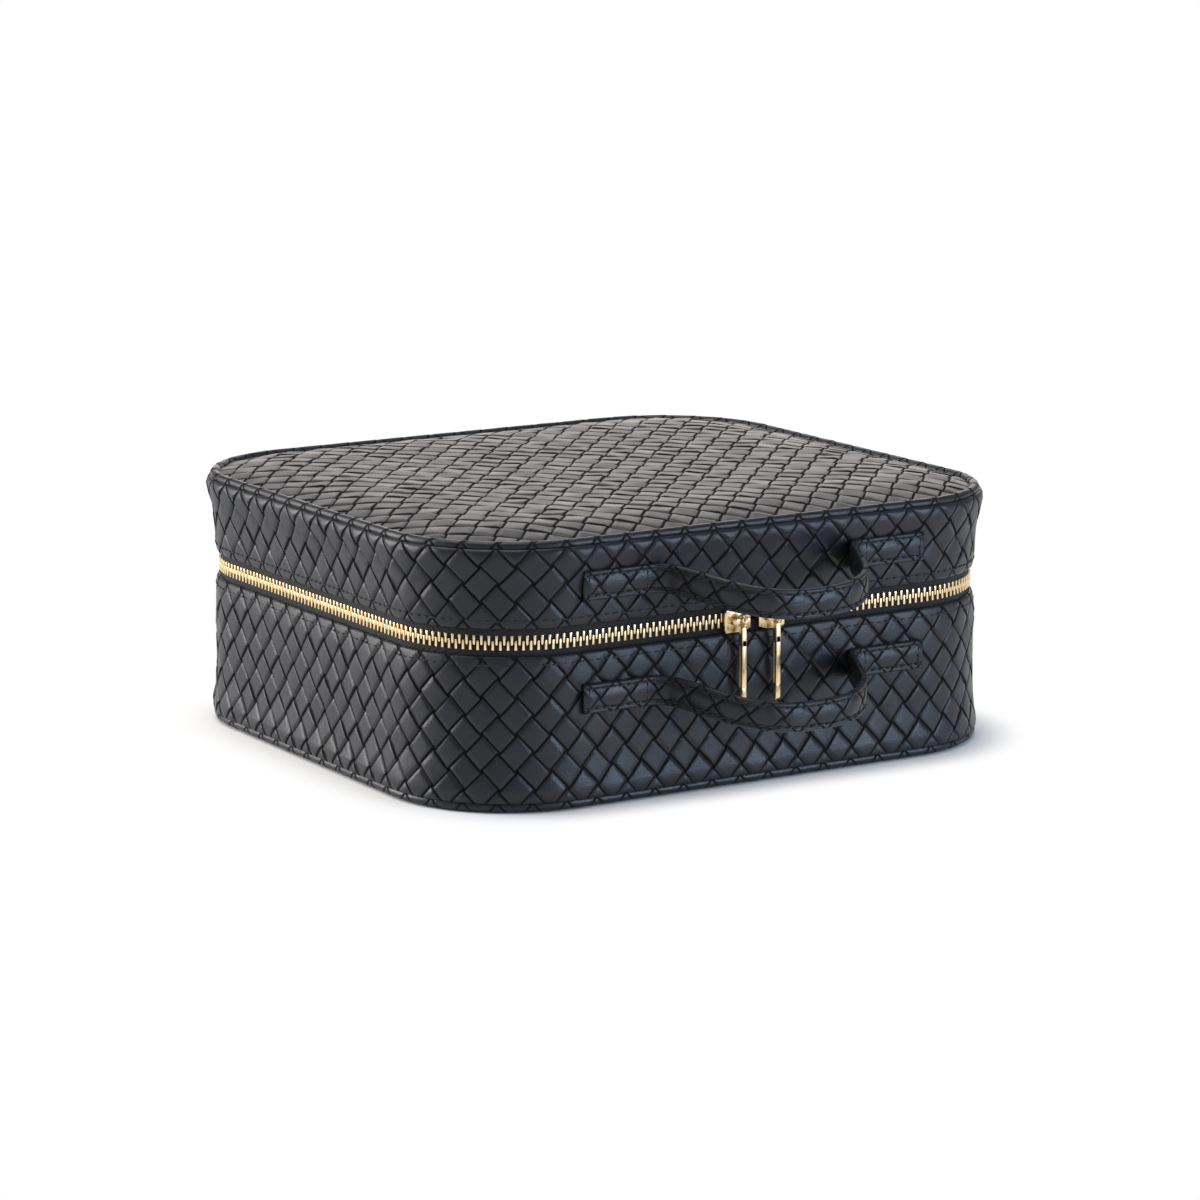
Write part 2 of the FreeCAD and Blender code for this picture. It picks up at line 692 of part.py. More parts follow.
doc.recompute()
for item in doc.Objects:
    if "Invalid" in item.State or "Error" in item.State:
        raise SystemExit(f"{item.Label} failed: {item.State}")
os.makedirs("parts", exist_ok=True)
for item in sub_parts:
    if item.Shape.isNull() or not item.Shape.isValid():
        raise SystemExit(f"{item.Label} has no valid shape")
    print(item.Label, len(item.Shape.Solids), round(item.Shape.Volume, 1))
    item.Shape.exportStep(f"parts/{item.Label}.step")
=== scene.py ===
"""Looks of a zip-round jewellery case in plaited black leather, dressed over its CAD frame.

All sizes are in metres in the CAD frame: the case stands on z = 0, its handles and zip sliders face -Y.
"""

from __future__ import annotations

import json
import logging
import math
from dataclasses import dataclass, field
from enum import Enum
from itertools import product
from typing import Callable, Sequence

import bpy
import numpy as np
from mathutils import Matrix, Vector

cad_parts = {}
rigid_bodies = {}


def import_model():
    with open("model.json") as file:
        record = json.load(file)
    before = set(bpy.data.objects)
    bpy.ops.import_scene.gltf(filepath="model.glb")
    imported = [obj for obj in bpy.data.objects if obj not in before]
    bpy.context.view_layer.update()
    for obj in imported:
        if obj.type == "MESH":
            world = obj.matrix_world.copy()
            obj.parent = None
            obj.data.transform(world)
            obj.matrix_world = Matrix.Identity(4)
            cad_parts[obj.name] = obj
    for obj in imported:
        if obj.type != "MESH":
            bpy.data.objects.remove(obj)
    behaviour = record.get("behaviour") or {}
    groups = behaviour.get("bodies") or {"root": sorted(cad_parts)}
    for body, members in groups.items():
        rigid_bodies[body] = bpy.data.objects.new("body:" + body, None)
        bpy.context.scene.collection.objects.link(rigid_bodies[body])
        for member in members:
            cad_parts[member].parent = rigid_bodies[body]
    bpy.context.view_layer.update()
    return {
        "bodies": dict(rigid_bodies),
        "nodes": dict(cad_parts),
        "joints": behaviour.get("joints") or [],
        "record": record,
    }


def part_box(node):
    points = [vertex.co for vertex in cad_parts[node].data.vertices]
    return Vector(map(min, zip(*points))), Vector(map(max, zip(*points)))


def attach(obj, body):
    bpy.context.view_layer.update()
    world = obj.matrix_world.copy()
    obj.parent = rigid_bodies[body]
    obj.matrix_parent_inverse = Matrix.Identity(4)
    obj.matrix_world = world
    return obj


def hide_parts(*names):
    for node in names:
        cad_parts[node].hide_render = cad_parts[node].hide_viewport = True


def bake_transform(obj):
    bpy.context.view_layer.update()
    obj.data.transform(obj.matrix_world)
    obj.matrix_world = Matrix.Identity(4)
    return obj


LOG = logging.getLogger("jewellery_case")
MM = 0.001
Array = np.ndarray
Mapping = Callable[[Array, Array, Array], tuple[Array, Array, Array]]
Point = tuple[float, float]
Colour = tuple[float, float, float]


class Side(Enum):
    """Left or right half of the zip, by the sign of X."""

    LEFT = -1
    RIGHT = 1


class Half(Enum):
    """The two halves of the case, by the way each one's wall leaves the zip."""

    BASE = -1
    LID = 1


@dataclass(frozen=True)
class CaseSizes:
    """Outer sizes of the case and the depths of its wall's layers."""

    width: float = 240 * MM
    depth: float = 220 * MM
    height: float = 96 * MM
    corner: float = 47 * MM
    zip_height: float = 60 * MM
    zip_gap: float = 11 * MM
    cover: float = 1.6 * MM
    tape_middle: float = 2.0 * MM
    lining_face: float = 4.4 * MM
    room_face: float = 5.6 * MM
    floor_top: float = 6.6 * MM
    panel_face: float = 94 * MM
    ceiling: float = 87.4 * MM


CASE = CaseSizes()


# Mesh helpers.


def clear_selection() -> None:
    """Leaves edit mode and deselects everything."""
    if bpy.context.object is not None and bpy.context.object.mode != "OBJECT":
        bpy.ops.object.mode_set(mode="OBJECT")
    bpy.ops.object.select_all(action="DESELECT")


def only(obj: bpy.types.Object) -> None:
    """Makes one object the only selected and the active one."""
    clear_selection()
    obj.select_set(True)
    bpy.context.view_layer.objects.active = obj


def apply_modifiers(obj: bpy.types.Object) -> None:
    """Applies all modifiers of an object in their order."""
    only(obj)
    for modifier in list(obj.modifiers):
        bpy.ops.object.modifier_apply(modifier=modifier.name)


def coordinates(obj: bpy.types.Object) -> Array:
    """Vertex places of a mesh, one row each."""
    places = np.empty(len(obj.data.vertices) * 3)
    obj.data.vertices.foreach_get("co", places)
    return places.reshape(-1, 3)


def move_vertices(obj: bpy.types.Object, places: Array) -> None:
    """Writes vertex places back to a mesh."""
    obj.data.vertices.foreach_set("co", np.ascontiguousarray(places, dtype=float).ravel())
    obj.data.update()


def clean(obj: bpy.types.Object, merge: float = 0.02 * MM, angle: float | None = None) -> None:
    """Merges doubles, turns faces outwards and shades the piece smooth.

    Args:
        obj: The piece.
        merge: Distance under which vertices are one.
        angle: Edges sharper than this many degrees stay crisp.
    """
    only(obj)
    bpy.ops.object.mode_set(mode="EDIT")
    bpy.ops.mesh.select_all(action="SELECT")
    bpy.ops.mesh.remove_doubles(threshold=merge)
    bpy.ops.mesh.normals_make_consistent(inside=False)
    bpy.ops.object.mode_set(mode="OBJECT")
    if angle is None:
        bpy.ops.object.shade_smooth()
    else:
        bpy.ops.object.shade_smooth_by_angle(angle=math.radians(angle))


def rounded_box(
    name: str, low: Sequence[float], high: Sequence[float], edge: float, cuts: int = 2
) -> bpy.types.Object:
    """A block with rounded edges between two corners.

    Args:
        name: Name of the piece.
        low: Lowest corner.
        high: Highest corner.
        edge: Radius of its edges.
        cuts: Segments in each rounded edge.

    Returns:
        The new piece, with its place in its mesh.
    """
    clear_selection()
    bpy.ops.mesh.primitive_cube_add(size=1)
    obj = bpy.context.object
    obj.name = name
    middle = (np.array(low) + np.array(high)) / 2
    move_vertices(obj, coordinates(obj) * (np.array(high) - np.array(low)) + middle)
    bevel = obj.modifiers.new("edges", "BEVEL")
    bevel.width, bevel.segments, bevel.limit_method = edge, cuts, "ANGLE"
    apply_modifiers(obj)
    clean(obj, angle=40)
    return obj


def grid_sheet(name: str, columns: int, rows: int) -> bpy.types.Object:
    """A flat grid from -1 to 1 in X and Y, to be bent into a sheet."""
    clear_selection()
    bpy.ops.mesh.primitive_grid_add(x_subdivisions=columns, y_subdivisions=rows, size=2)
    bpy.context.object.name = name
    return bpy.context.object


def plate(name: str, outline: Sequence[Point], thickness: float, edge: float) -> bpy.types.Object:
    """A flat plate of any outline in X and Y, raised in +Z, with rounded edges.

    Args:
        name: Name of the piece.
        outline: Corners in order, anticlockwise.
        thickness: How far it is raised.
        edge: Radius of its edges.

    Returns:
        The new plate.
    """
    clear_selection()
    bpy.ops.mesh.primitive_circle_add(vertices=len(outline), radius=1, fill_type="NGON")
    obj = bpy.context.object
    obj.name = name
    move_vertices(obj, np.array([(x, y, 0.0) for x, y in outline]))
    bpy.ops.object.mode_set(mode="EDIT")
    bpy.ops.mesh.select_all(action="SELECT")
    bpy.ops.mesh.extrude_region_move(TRANSFORM_OT_translate={"value": (0, 0, thickness)})
    bpy.ops.object.mode_set(mode="OBJECT")
    clean(obj)
    bevel = obj.modifiers.new("edges", "BEVEL")
    bevel.width, bevel.segments, bevel.limit_method = edge, 2, "ANGLE"
    apply_modifiers(obj)
    clean(obj, angle=35)
    return obj


def join(name: str, pieces: Sequence[bpy.types.Object]) -> bpy.types.Object:
    """Joins pieces into the first one and renames it."""
    clear_selection()
    for piece in pieces:
        piece.select_set(True)
    bpy.context.view_layer.objects.active = pieces[0]
    if len(pieces) > 1:
        bpy.ops.object.join()
    pieces[0].name = name
    return pieces[0]


def placed(obj: bpy.types.Object, matrix: Matrix) -> bpy.types.Object:
    """Moves a piece's mesh, so that its object stays at the origin."""
    obj.data.transform(matrix)
    obj.data.update()
    return obj


def copies(name: str, pattern: bpy.types.Object, places: Sequence[Matrix]) -> bpy.types.Object:
    """One piece made of many copies of a small pattern piece, which is then removed.

    Args:
        name: Name of the new piece.
        pattern: The piece to repeat.
        places: One matrix for each copy.

    Returns:
        The joined copies.
    """
    source = pattern.data
    points = np.c_[coordinates(pattern), np.ones(len(source.vertices))]
    faces = [tuple(face.vertices) for face in source.polygons]
    vertices: list[Array] = []
    polygons: list[tuple[int, ...]] = []
    for index, matrix in enumerate(places):
        vertices.append((points @ np.array(matrix).T)[:, :3])
        shift = index * len(points)
        polygons.extend(tuple(corner + shift for corner in face) for face in faces)
    mesh = bpy.data.meshes.new(name)
    mesh.from_pydata(np.vstack(vertices).tolist(), [], polygons)
    obj = bpy.data.objects.new(name, mesh)
    bpy.context.collection.objects.link(obj)
    bpy.data.objects.remove(pattern)
    only(obj)
    bpy.ops.object.shade_smooth_by_angle(angle=math.radians(40))
    return obj


def smooth_line(points: Sequence[Point], rounds: int = 3, closed: bool = False) -> Array:
    """Rounds the corners of a line by cutting them again and again.

    Args:
        points: Corners of the line.
        rounds: How often its corners are cut.
        closed: Whether its ends meet.

    Returns:
        The finer line, one row a point.
    """
    line = np.array(points, dtype=float)
    for _ in range(rounds):
        after = np.roll(line, -1, axis=0)
        near, far = line * 0.75 + after * 0.25, line * 0.25 + after * 0.75
        finer = np.empty((2 * len(line), line.shape[1]))
        finer[0::2], finer[1::2] = near, far
        line = finer if closed else np.vstack([line[:1], finer[:-2], line[-1:]])
    return line


class Track:
    """A line that can be asked for its place and its left-hand normal at a distance along it."""

    def __init__(self, line: Array, closed: bool = False) -> None:
        """Keeps the line and its lengths."""
        self.line = np.vstack([line, line[:1]]) if closed else line
        steps = np.linalg.norm(np.diff(self.line, axis=0), axis=1)
        self.distances = np.concatenate([[0.0], np.cumsum(steps)])
        self.length = float(self.distances[-1])
        self.closed = closed
        heading = np.gradient(self.line, self.distances, axis=0)
        if closed:
            heading[0] = heading[-1] = heading[0] + heading[-1]
        heading /= np.linalg.norm(heading, axis=1)[:, None]
        self.normals = np.c_[heading[:, 1], -heading[:, 0]]

    def at(self, along: Array) -> tuple[Array, Array]:
        """Places and normals at distances along the line, each one row a point."""
        along = np.mod(along, self.length) if self.closed else np.clip(along, 0, self.length)
        place, normal = (
            np.stack([np.interp(along, self.distances, values[:, axis]) for axis in (0, 1)], axis=-1)
            for values in (self.line, self.normals)
        )
        return place, normal

    def bends(self, turn: float = 6.0, spacing: float = 0.6 * MM) -> list[float]:
        """Distances along the line where it has turned by some degrees since the last one."""
        found: list[float] = []
        last = self.normals[0]
        for distance, normal in zip(self.distances[1:-1], self.normals[1:-1]):
            turned = math.degrees(math.acos(float(np.clip(np.dot(last, normal), -1, 1))))
            if turned >= turn and (not found or distance - found[-1] >= spacing):
                found.append(float(distance))
                last = normal
        return found


def rounded_corners(half_width: float, half_depth: float, radius: float, arc_steps: int) -> list[Point]:
    """Points on the four corners of a rounded rectangle, anticlockwise from the front right.

    Args:
        half_width: Distance in X from its middle to the corners' centres.
        half_depth: Distance in Y from its middle to the corners' centres.
        radius: Radius of the corners.
        arc_steps: Steps in each corner.

    Returns:
        The points in order.
    """
    points: list[Point] = []
    for corner, (x, y) in enumerate(((1, -1), (1, 1), (-1, 1), (-1, -1))):
        for step in range(arc_steps + 1):
            turn = math.radians(90 * corner - 90 + 90 * step / arc_steps)
            across, along = radius * math.cos(turn), radius * math.sin(turn)
            points.append((x * half_width + across, y * half_depth + along))
    return points


def case_outline(outward: float = 0.0, arc_steps: int = 48) -> Array:
    """The case's rounded outline seen from above, from the middle of the front to the right and round.

    Args:
        outward: Distance from the face of the leather wall.
        arc_steps: Steps in each corner.

    Returns:
        Points of the closed outline.
    """
    half_width, half_depth = CASE.width / 2 - CASE.corner, CASE.depth / 2 - CASE.corner
    radius = CASE.corner + outward
    front = [(0.0, -half_depth - radius)]
    return np.array(front + rounded_corners(half_width, half_depth, radius, arc_steps))


WALL = Track(case_outline(), closed=True)


# Plaited leather.


TILT_SEEDS = ((12.9898, 78.233), (39.3461, 11.135))
TILT_SCATTER = 43758.5453


@dataclass(frozen=True)
class Plait:
    """A plain diagonal basket weave of flat leather strips."""

    repeats: int = 35
    rise: float = 1.1
    jog: float = 0.06
    relief: float = 0.85 * MM
    tilt: float = 0.42
    steps: tuple[float, ...] = (0.018, 0.055, 0.22, 0.78, 0.945, 0.982)
    side_heights: tuple[float, ...] = (0.78, 0.97, 1.0)
    end_heights: tuple[float, ...] = (0.10, 0.72, 0.95)

    @property
    def repeat(self) -> float:
        """Length of one repeat of the weave, which is two strips, along the wall."""
        return WALL.length / self.repeats

    @property
    def tall(self) -> float:
        """Height of one repeat of the weave, a little more than its length."""
        return self.repeat * self.rise

    @property
    def strip(self) -> float:
        """Width of one strip."""
        return self.repeat / (2 * math.sqrt(2))

    def strip_height(self, across: Array, along: Array) -> Array:
        """Height of the upper strip in one cell, from 0 to 1: crisp at its sides, dipping at its ends."""
        reach = self.steps[: len(self.side_heights)]
        crown = np.interp(0.5 - np.abs(across - 0.5), reach, self.side_heights)
        dip = np.interp(0.5 - np.abs(along - 0.5), reach, self.end_heights)
        return crown * dip

    def block(self) -> bpy.types.Object:
        """Two by two strips of the weave, flat in X and Y, with their height in Z.

        Returns:
            A square block turned by 45 degrees, which repeats along its diagonals.
        """
        places = [cell + step for cell in (0, 1) for step in self.steps] + [2 + self.steps[0]]
        count = len(places)
        obj = grid_sheet("plait_block", count - 1, count - 1)
        grid = coordinates(obj)
        column = np.rint((grid[:, 0] + 1) / 2 * (count - 1)).astype(int)
        row = np.rint((grid[:, 1] + 1) / 2 * (count - 1)).astype(int)
        line = np.array(places)
        first, second = line[column], line[row]
        cell_first, cell_second = np.floor(first), np.floor(second)
        part_first, part_second = first - cell_first, second - cell_second
        along_first = (cell_first + cell_second) % 2 == 0
        height = np.where(
            along_first,
            self.strip_height(part_second, part_first),
            self.strip_height(part_first, part_second),
        )
        longer = np.where(along_first, 1.0, -1.0) * self.jog
        first = first + longer * (2 * part_first - 1) ** 3
        second = second - longer * (2 * part_second - 1) ** 3
        x = (first - second) * self.strip / math.sqrt(2)
        y = (first + second) * self.strip / math.sqrt(2) * self.rise
        move_vertices(obj, np.c_[x, y, height * self.relief])
        corners = np.empty(len(obj.data.loops), dtype=np.int32)
        obj.data.loops.foreach_get("vertex_index", corners)
        flat = np.c_[line[column], line[row]] / 2
        obj.data.uv_layers.active.data.foreach_set("uv", flat[corners].ravel())
        return obj

    def loosen(self, obj: bpy.types.Object) -> None:
        """Tilts each strip's visible part a little, as hand plaiting does; the ring's ends still meet."""
        flat = coordinates(obj)
        across, upward = flat[:, 0], flat[:, 1] / self.rise
        first = (upward + across) / (self.strip * math.sqrt(2))
        second = (upward - across) / (self.strip * math.sqrt(2))
        cells = np.floor(first), np.floor(second)
        places = [2 * (value - cell) - 1 for value, cell in zip((first, second), cells)]
        row, around = cells[0] + cells[1], np.mod(cells[0] - cells[1], 4 * self.repeats)
        waves = [np.sin(row * a + around * b) for a, b in TILT_SEEDS]
        chance = [np.modf(np.abs(wave * TILT_SCATTER))[0] - 0.5 for wave in waves]
        inside = (1 - places[0] ** 8) * (1 - places[1] ** 8)
        flat[:, 2] += self.relief * self.tilt * 2 * inside * (chance[0] * places[0] + chance[1] * places[1])
        move_vertices(obj, flat)

    def sheet(
        self, name: str, length: float, low: float, high: float, folds: Sequence[float] = ()
    ) -> bpy.types.Object:
        """A flat sheet of the weave that starts at x = 0 and is cut off at two heights in Y.

        Args:
            name: Name of the sheet.
            length: Length in X, rounded up to whole repeats.
            low: Lower cut in Y.
            high: Upper cut in Y.
            folds: Heights in Y where it is scored, so that it bends there cleanly.

        Returns:
            The sheet, whose slanted ends meet when it is bent into a ring of whole repeats.
        """
        obj = self.block()
        obj.name = name
        half, step = self.repeat / 2, self.tall / 2
        start = math.floor(low / step) - 1
        rows = math.ceil((high - low) / step) + 3
        move_vertices(obj, coordinates(obj) + np.array([start * half, start * step, 0]))
        offsets = ((self.repeat, 0, 0), math.ceil(length / self.repeat)), ((half, step, 0), rows)
        for number, (offset, count) in enumerate(offsets):
            array = obj.modifiers.new(f"repeat_{number}", "ARRAY")
            array.count, array.use_relative_offset, array.use_constant_offset = count, False, True
            array.constant_offset_displace = offset
            array.use_merge_vertices, array.merge_threshold = True, 0.01 * MM
        apply_modifiers(obj)
        self.loosen(obj)
        cut(obj, (0, low, 0), (0, -1, 0))
        cut(obj, (0, high, 0), (0, 1, 0))
        for fold in folds:
            cut(obj, (0, fold, 0), (0, 1, 0), keep=True)
        return obj


def cut(obj: bpy.types.Object, point: Sequence[float], outward: Sequence[float], keep: bool = False) -> None:
    """Cuts away what lies beyond a plane, or only scores the mesh there and keeps all of it."""
    only(obj)
    bpy.ops.object.mode_set(mode="EDIT")
    bpy.ops.mesh.select_all(action="SELECT")
    normal = Vector(outward).normalized()
    bpy.ops.mesh.bisect(plane_co=point, plane_no=normal, clear_outer=not keep, threshold=1e-7)
    bpy.ops.object.mode_set(mode="OBJECT")


def bend_sheet(obj: bpy.types.Object, mapping: Mapping) -> None:
    """Lays a flat sheet on a surface: its X, Y and height go through a mapping."""
    flat = coordinates(obj)
    move_vertices(obj, np.stack(mapping(flat[:, 0], flat[:, 1], flat[:, 2]), axis=-1))
    clean(obj)


def along_wall(profile: Track) -> Mapping:
    """A mapping round the case: X runs along the wall and Y along a profile of outward distance and height.

    Args:
        profile: The profile.

    Returns:
        The mapping.
    """

    def mapping(x: Array, y: Array, height: Array) -> tuple[Array, Array, Array]:
        place, normal = WALL.at(x)
        section, outward = profile.at(y)
        away = section[:, 0] + height * outward[:, 0]
        up = section[:, 1] + height * outward[:, 1]
        return place[:, 0] + normal[:, 0] * away, place[:, 1] + normal[:, 1] * away, up

    return mapping


# Finishes.


def group(name: str, inputs: Sequence[tuple[str, str, float]], outputs: Sequence[str]) -> bpy.types.NodeTree:
    """An empty shader node group with named sockets.

    Args:
        name: Name of the group.
        inputs: Name, socket type and default of each input.
        outputs: Names of its value outputs.

    Returns:
        The group, with its input and output nodes.
    """
    tree = bpy.data.node_groups.new(name, "ShaderNodeTree")
    for label, kind, default in inputs:
        socket = tree.interface.new_socket(label, in_out="INPUT", socket_type=kind)
        if kind == "NodeSocketFloat":
            socket.default_value = default
    for label in outputs:
        tree.interface.new_socket(label, in_out="OUTPUT", socket_type="NodeSocketFloat")
    tree.nodes.new("NodeGroupInput")
    tree.nodes.new("NodeGroupOutput")
    return tree


class Graph:
    """Short calls for wiring one node tree."""

    def __init__(self, tree: bpy.types.NodeTree) -> None:
        """Keeps the tree."""
        self.tree = tree

    def node(
        self, kind: str, links: dict[int | str, object] | None = None, **settings: object
    ) -> bpy.types.Node:
        """Adds a node, sets it up and feeds its inputs with sockets or plain values.

        Args:
            kind: Type of the node.
            links: Input to socket or value.
            settings: Properties of the node.

        Returns:
            The node.
        """
        node = self.tree.nodes.new(kind)
        for key, value in settings.items():
            setattr(node, key, value)
        for key, value in (links or {}).items():
            if isinstance(value, bpy.types.NodeSocket):
                self.tree.links.new(value, node.inputs[key])
            else:
                node.inputs[key].default_value = value
        return node

    def math(self, operation: str, first: object, second: object = 0.0) -> bpy.types.NodeSocket:
        """The result of a Math node."""
        return self.node("ShaderNodeMath", {0: first, 1: second}, operation=operation).outputs[0]

    def ramp(self, factor: object, stops: Sequence[tuple[float, Sequence[float]]]) -> bpy.types.NodeSocket:
        """The colour of a ramp with the stops given."""
        node = self.node("ShaderNodeValToRGB", {0: factor})
        ramp = node.color_ramp
        while len(ramp.elements) < len(stops):
            ramp.elements.new(0.5)
        for element, (place, colour) in zip(ramp.elements, stops):
            element.position = place
            element.color = (*colour, 1.0)
        return node.outputs[0]

    def noise(self, vector: object, scale: float, detail: float = 4.0) -> bpy.types.NodeSocket:
        """The value of a noise texture."""
        inputs = {"Vector": vector, "Scale": scale, "Detail": detail}
        return self.node("ShaderNodeTexNoise", inputs).outputs[0]

    def bump(self, shader: bpy.types.Node, height: object, strength: float) -> None:
        """Feeds a shader's normal with a bump of some height and strength."""
        inputs = {"Height": height, "Strength": strength, "Distance": BUMP_DISTANCE}
        self.tree.links.new(self.node("ShaderNodeBump", inputs).outputs[0], shader.inputs["Normal"])


WEAR_SCALE = 90.0
FINE_GRAIN_SCALE = 2600.0
MOTTLE_SCALE = 140.0
BUMP_DISTANCE = 0.2 * MM
# Painted shade in the creases between plaited strips: near-black up to the first distance from a strip's edge
# and gone at the second, in strip widths. It stands for the shade in the gaps, and in part for the strips'
# dark-dyed edges.
CREASE_SHADE_FULL, CREASE_SHADE_END = 0.028, 0.07
CREASE_SHADE_COLOUR = (0.0008, 0.0008, 0.001, 1)


def grain_group() -> bpy.types.NodeTree:
    """Leather grain: fine pebbles with creases between them, and slow wear over them."""
    tree = group(
        "leather_grain",
        [("Vector", "NodeSocketVector", 0.0), ("Scale", "NodeSocketFloat", 1500.0)],
        ["Height", "Wear"],
    )
    graph = Graph(tree)
    start, end = tree.nodes[0], tree.nodes[1]
    pebbles = graph.node(
        "ShaderNodeTexVoronoi", {"Vector": start.outputs[0], "Scale": start.outputs[1]}, feature="SMOOTH_F1"
    )
    slow = graph.noise(start.outputs[0], WEAR_SCALE)
    fine = graph.noise(start.outputs[0], FINE_GRAIN_SCALE)
    hollows = graph.math("MULTIPLY", pebbles.outputs[0], -0.7)
    height = graph.math("ADD", hollows, graph.math("MULTIPLY", fine, 0.5))
    tree.links.new(height, end.inputs[0])
    tree.links.new(slow, end.inputs[1])
    return tree


def plait_group() -> bpy.types.NodeTree:
    """Mask of the creases between plaited strips, for their painted shade, and of the strips that run the
    other way.
    """
    tree = group("plait_mask", [("UV", "NodeSocketVector", 0.0)], ["Crease", "Direction"])
    graph = Graph(tree)
    start, end = tree.nodes[0], tree.nodes[1]
    parts = graph.node("ShaderNodeSeparateXYZ", {0: start.outputs[0]})
    cells = [graph.math("MULTIPLY", parts.outputs[axis], 2.0) for axis in (0, 1)]
    edges = [graph.math("PINGPONG", cell, 0.5) for cell in cells]
    nearest = graph.math("MINIMUM", edges[0], edges[1])
    crease_shade = graph.node(
        "ShaderNodeMapRange",
        {0: nearest, 1: CREASE_SHADE_FULL, 2: CREASE_SHADE_END, 3: 1.0, 4: 0.0},
        interpolation_type="SMOOTHSTEP",
    )
    floors = [graph.math("FLOOR", cell) for cell in cells]
    direction = graph.math("MODULO", graph.math("ADD", floors[0], floors[1]), 2.0)
    tree.links.new(crease_shade.outputs[0], end.inputs[0])
    tree.links.new(direction, end.inputs[1])
    return tree


def weave_group() -> bpy.types.NodeTree:
    """Fine cloth weave of crossing threads."""
    tree = group(
        "cloth_weave",
        [("Vector", "NodeSocketVector", 0.0), ("Scale", "NodeSocketFloat", 3000.0)],
        ["Height", "Mottle"],
    )
    graph = Graph(tree)
    start, end = tree.nodes[0], tree.nodes[1]
    scaled = graph.node("ShaderNodeVectorMath", {0: start.outputs[0], 3: start.outputs[1]}, operation="SCALE")
    parts = graph.node("ShaderNodeSeparateXYZ", {0: scaled.outputs[0]})
    across = graph.math("SINE", graph.math("ADD", parts.outputs[0], parts.outputs[1]))
    upward = graph.math("SINE", parts.outputs[2])
    tree.links.new(graph.math("MULTIPLY", across, upward), end.inputs[0])
    tree.links.new(graph.noise(start.outputs[0], MOTTLE_SCALE), end.inputs[1])
    return tree


GROUPS: dict[str, bpy.types.NodeTree] = {}


def shared(name: str) -> bpy.types.NodeTree:
    """A shared node group, built when it is first asked for."""
    makers = {"grain": grain_group, "plait": plait_group, "weave": weave_group}
    if name not in GROUPS:
        GROUPS[name] = makers[name]()
    return GROUPS[name]


def new_material(name: str) -> tuple[bpy.types.Material, Graph, bpy.types.Node]:
    """A material with its graph and its shader."""
    material = bpy.data.materials.new(name)
    material.use_nodes = True
    shader = next(node for node in material.node_tree.nodes if node.type == "BSDF_PRINCIPLED")
    return material, Graph(material.node_tree), shader


@dataclass(frozen=True)
class Leather:
    """Black leather, plaited or plain."""

    name: str
    dark: Colour
    light: Colour
    roughness: float
    plaited: bool

    def material(self) -> bpy.types.Material:
        """Builds the leather's material."""
        material, graph, shader = new_material(self.name)
        coords = graph.node("ShaderNodeTexCoord")
        grain = graph.node("ShaderNodeGroup", {}, node_tree=shared("grain"))
        material.node_tree.links.new(coords.outputs["Object"], grain.inputs[0])
        tone = graph.ramp(grain.outputs["Wear"], [(0.3, self.dark), (0.72, self.light)])
        gloss = graph.node("ShaderNodeMapRange", {0: grain.outputs["Wear"], 1: 0.3, 2: 0.7})
        gloss.inputs[3].default_value = self.roughness - 0.05
        gloss.inputs[4].default_value = self.roughness + 0.07
        roughness = gloss.outputs[0]
        if self.plaited:
            plait = graph.node("ShaderNodeGroup", {0: coords.outputs["UV"]}, node_tree=shared("plait"))
            # Painted shade: the creases between strips are darkened to near-black for the shade that falls in
            # their gaps, partly their dark-dyed edges, and are made rougher.
            crease_shade = plait.outputs["Crease"]
            colours = {0: crease_shade, 6: tone, 7: CREASE_SHADE_COLOUR}
            tone = graph.node("ShaderNodeMix", colours, data_type="RGBA").outputs[2]
            roughness = graph.math("ADD", roughness, graph.math("MULTIPLY", plait.outputs["Direction"], 0.05))
            roughness = graph.math("ADD", roughness, graph.math("MULTIPLY", crease_shade, 0.6))
        material.node_tree.links.new(tone, shader.inputs["Base Color"])
        material.node_tree.links.new(roughness, shader.inputs["Roughness"])
        graph.bump(shader, grain.outputs["Height"], 0.45)
        shader.inputs["Specular IOR Level"].default_value = 0.40
        return material


@dataclass(frozen=True)
class Cloth:
    """Woven or pile cloth."""

    name: str
    dark: Colour
    light: Colour
    scale: float
    sheen: float
    strength: float

    def material(self) -> bpy.types.Material:
        """Builds the cloth's material."""
        material, graph, shader = new_material(self.name)
        coords = graph.node("ShaderNodeTexCoord")
        weave = graph.node(
            "ShaderNodeGroup", {0: coords.outputs["Object"], 1: self.scale}, node_tree=shared("weave")
        )
        tone = graph.ramp(weave.outputs["Mottle"], [(0.3, self.dark), (0.7, self.light)])
        material.node_tree.links.new(tone, shader.inputs["Base Color"])
        graph.bump(shader, weave.outputs["Height"], self.strength)
        shader.inputs["Roughness"].default_value = 0.9
        shader.inputs["Sheen Weight"].default_value = self.sheen
        shader.inputs["Sheen Roughness"].default_value = 0.4
        return material


@dataclass(frozen=True)
class Metal:
    """Polished plated metal with faint handling marks."""

    name: str
    dark: Colour
    light: Colour
    roughness: float

    def material(self) -> bpy.types.Material:
        """Builds the metal's material."""
        material, graph, shader = new_material(self.name)
        coords = graph.node("ShaderNodeTexCoord")
        marks = graph.noise(coords.outputs["Object"], 420.0, 6.0)
        tone = graph.ramp(marks, [(0.25, self.dark), (0.7, self.light)])
        rough = graph.node("ShaderNodeMapRange", {0: marks, 1: 0.3, 2: 0.7})
        rough.inputs[3].default_value = self.roughness - 0.05
        rough.inputs[4].default_value = self.roughness + 0.08
        material.node_tree.links.new(tone, shader.inputs["Base Color"])
        material.node_tree.links.new(rough.outputs[0], shader.inputs["Roughness"])
        shader.inputs["Metallic"].default_value = 1.0
        return material


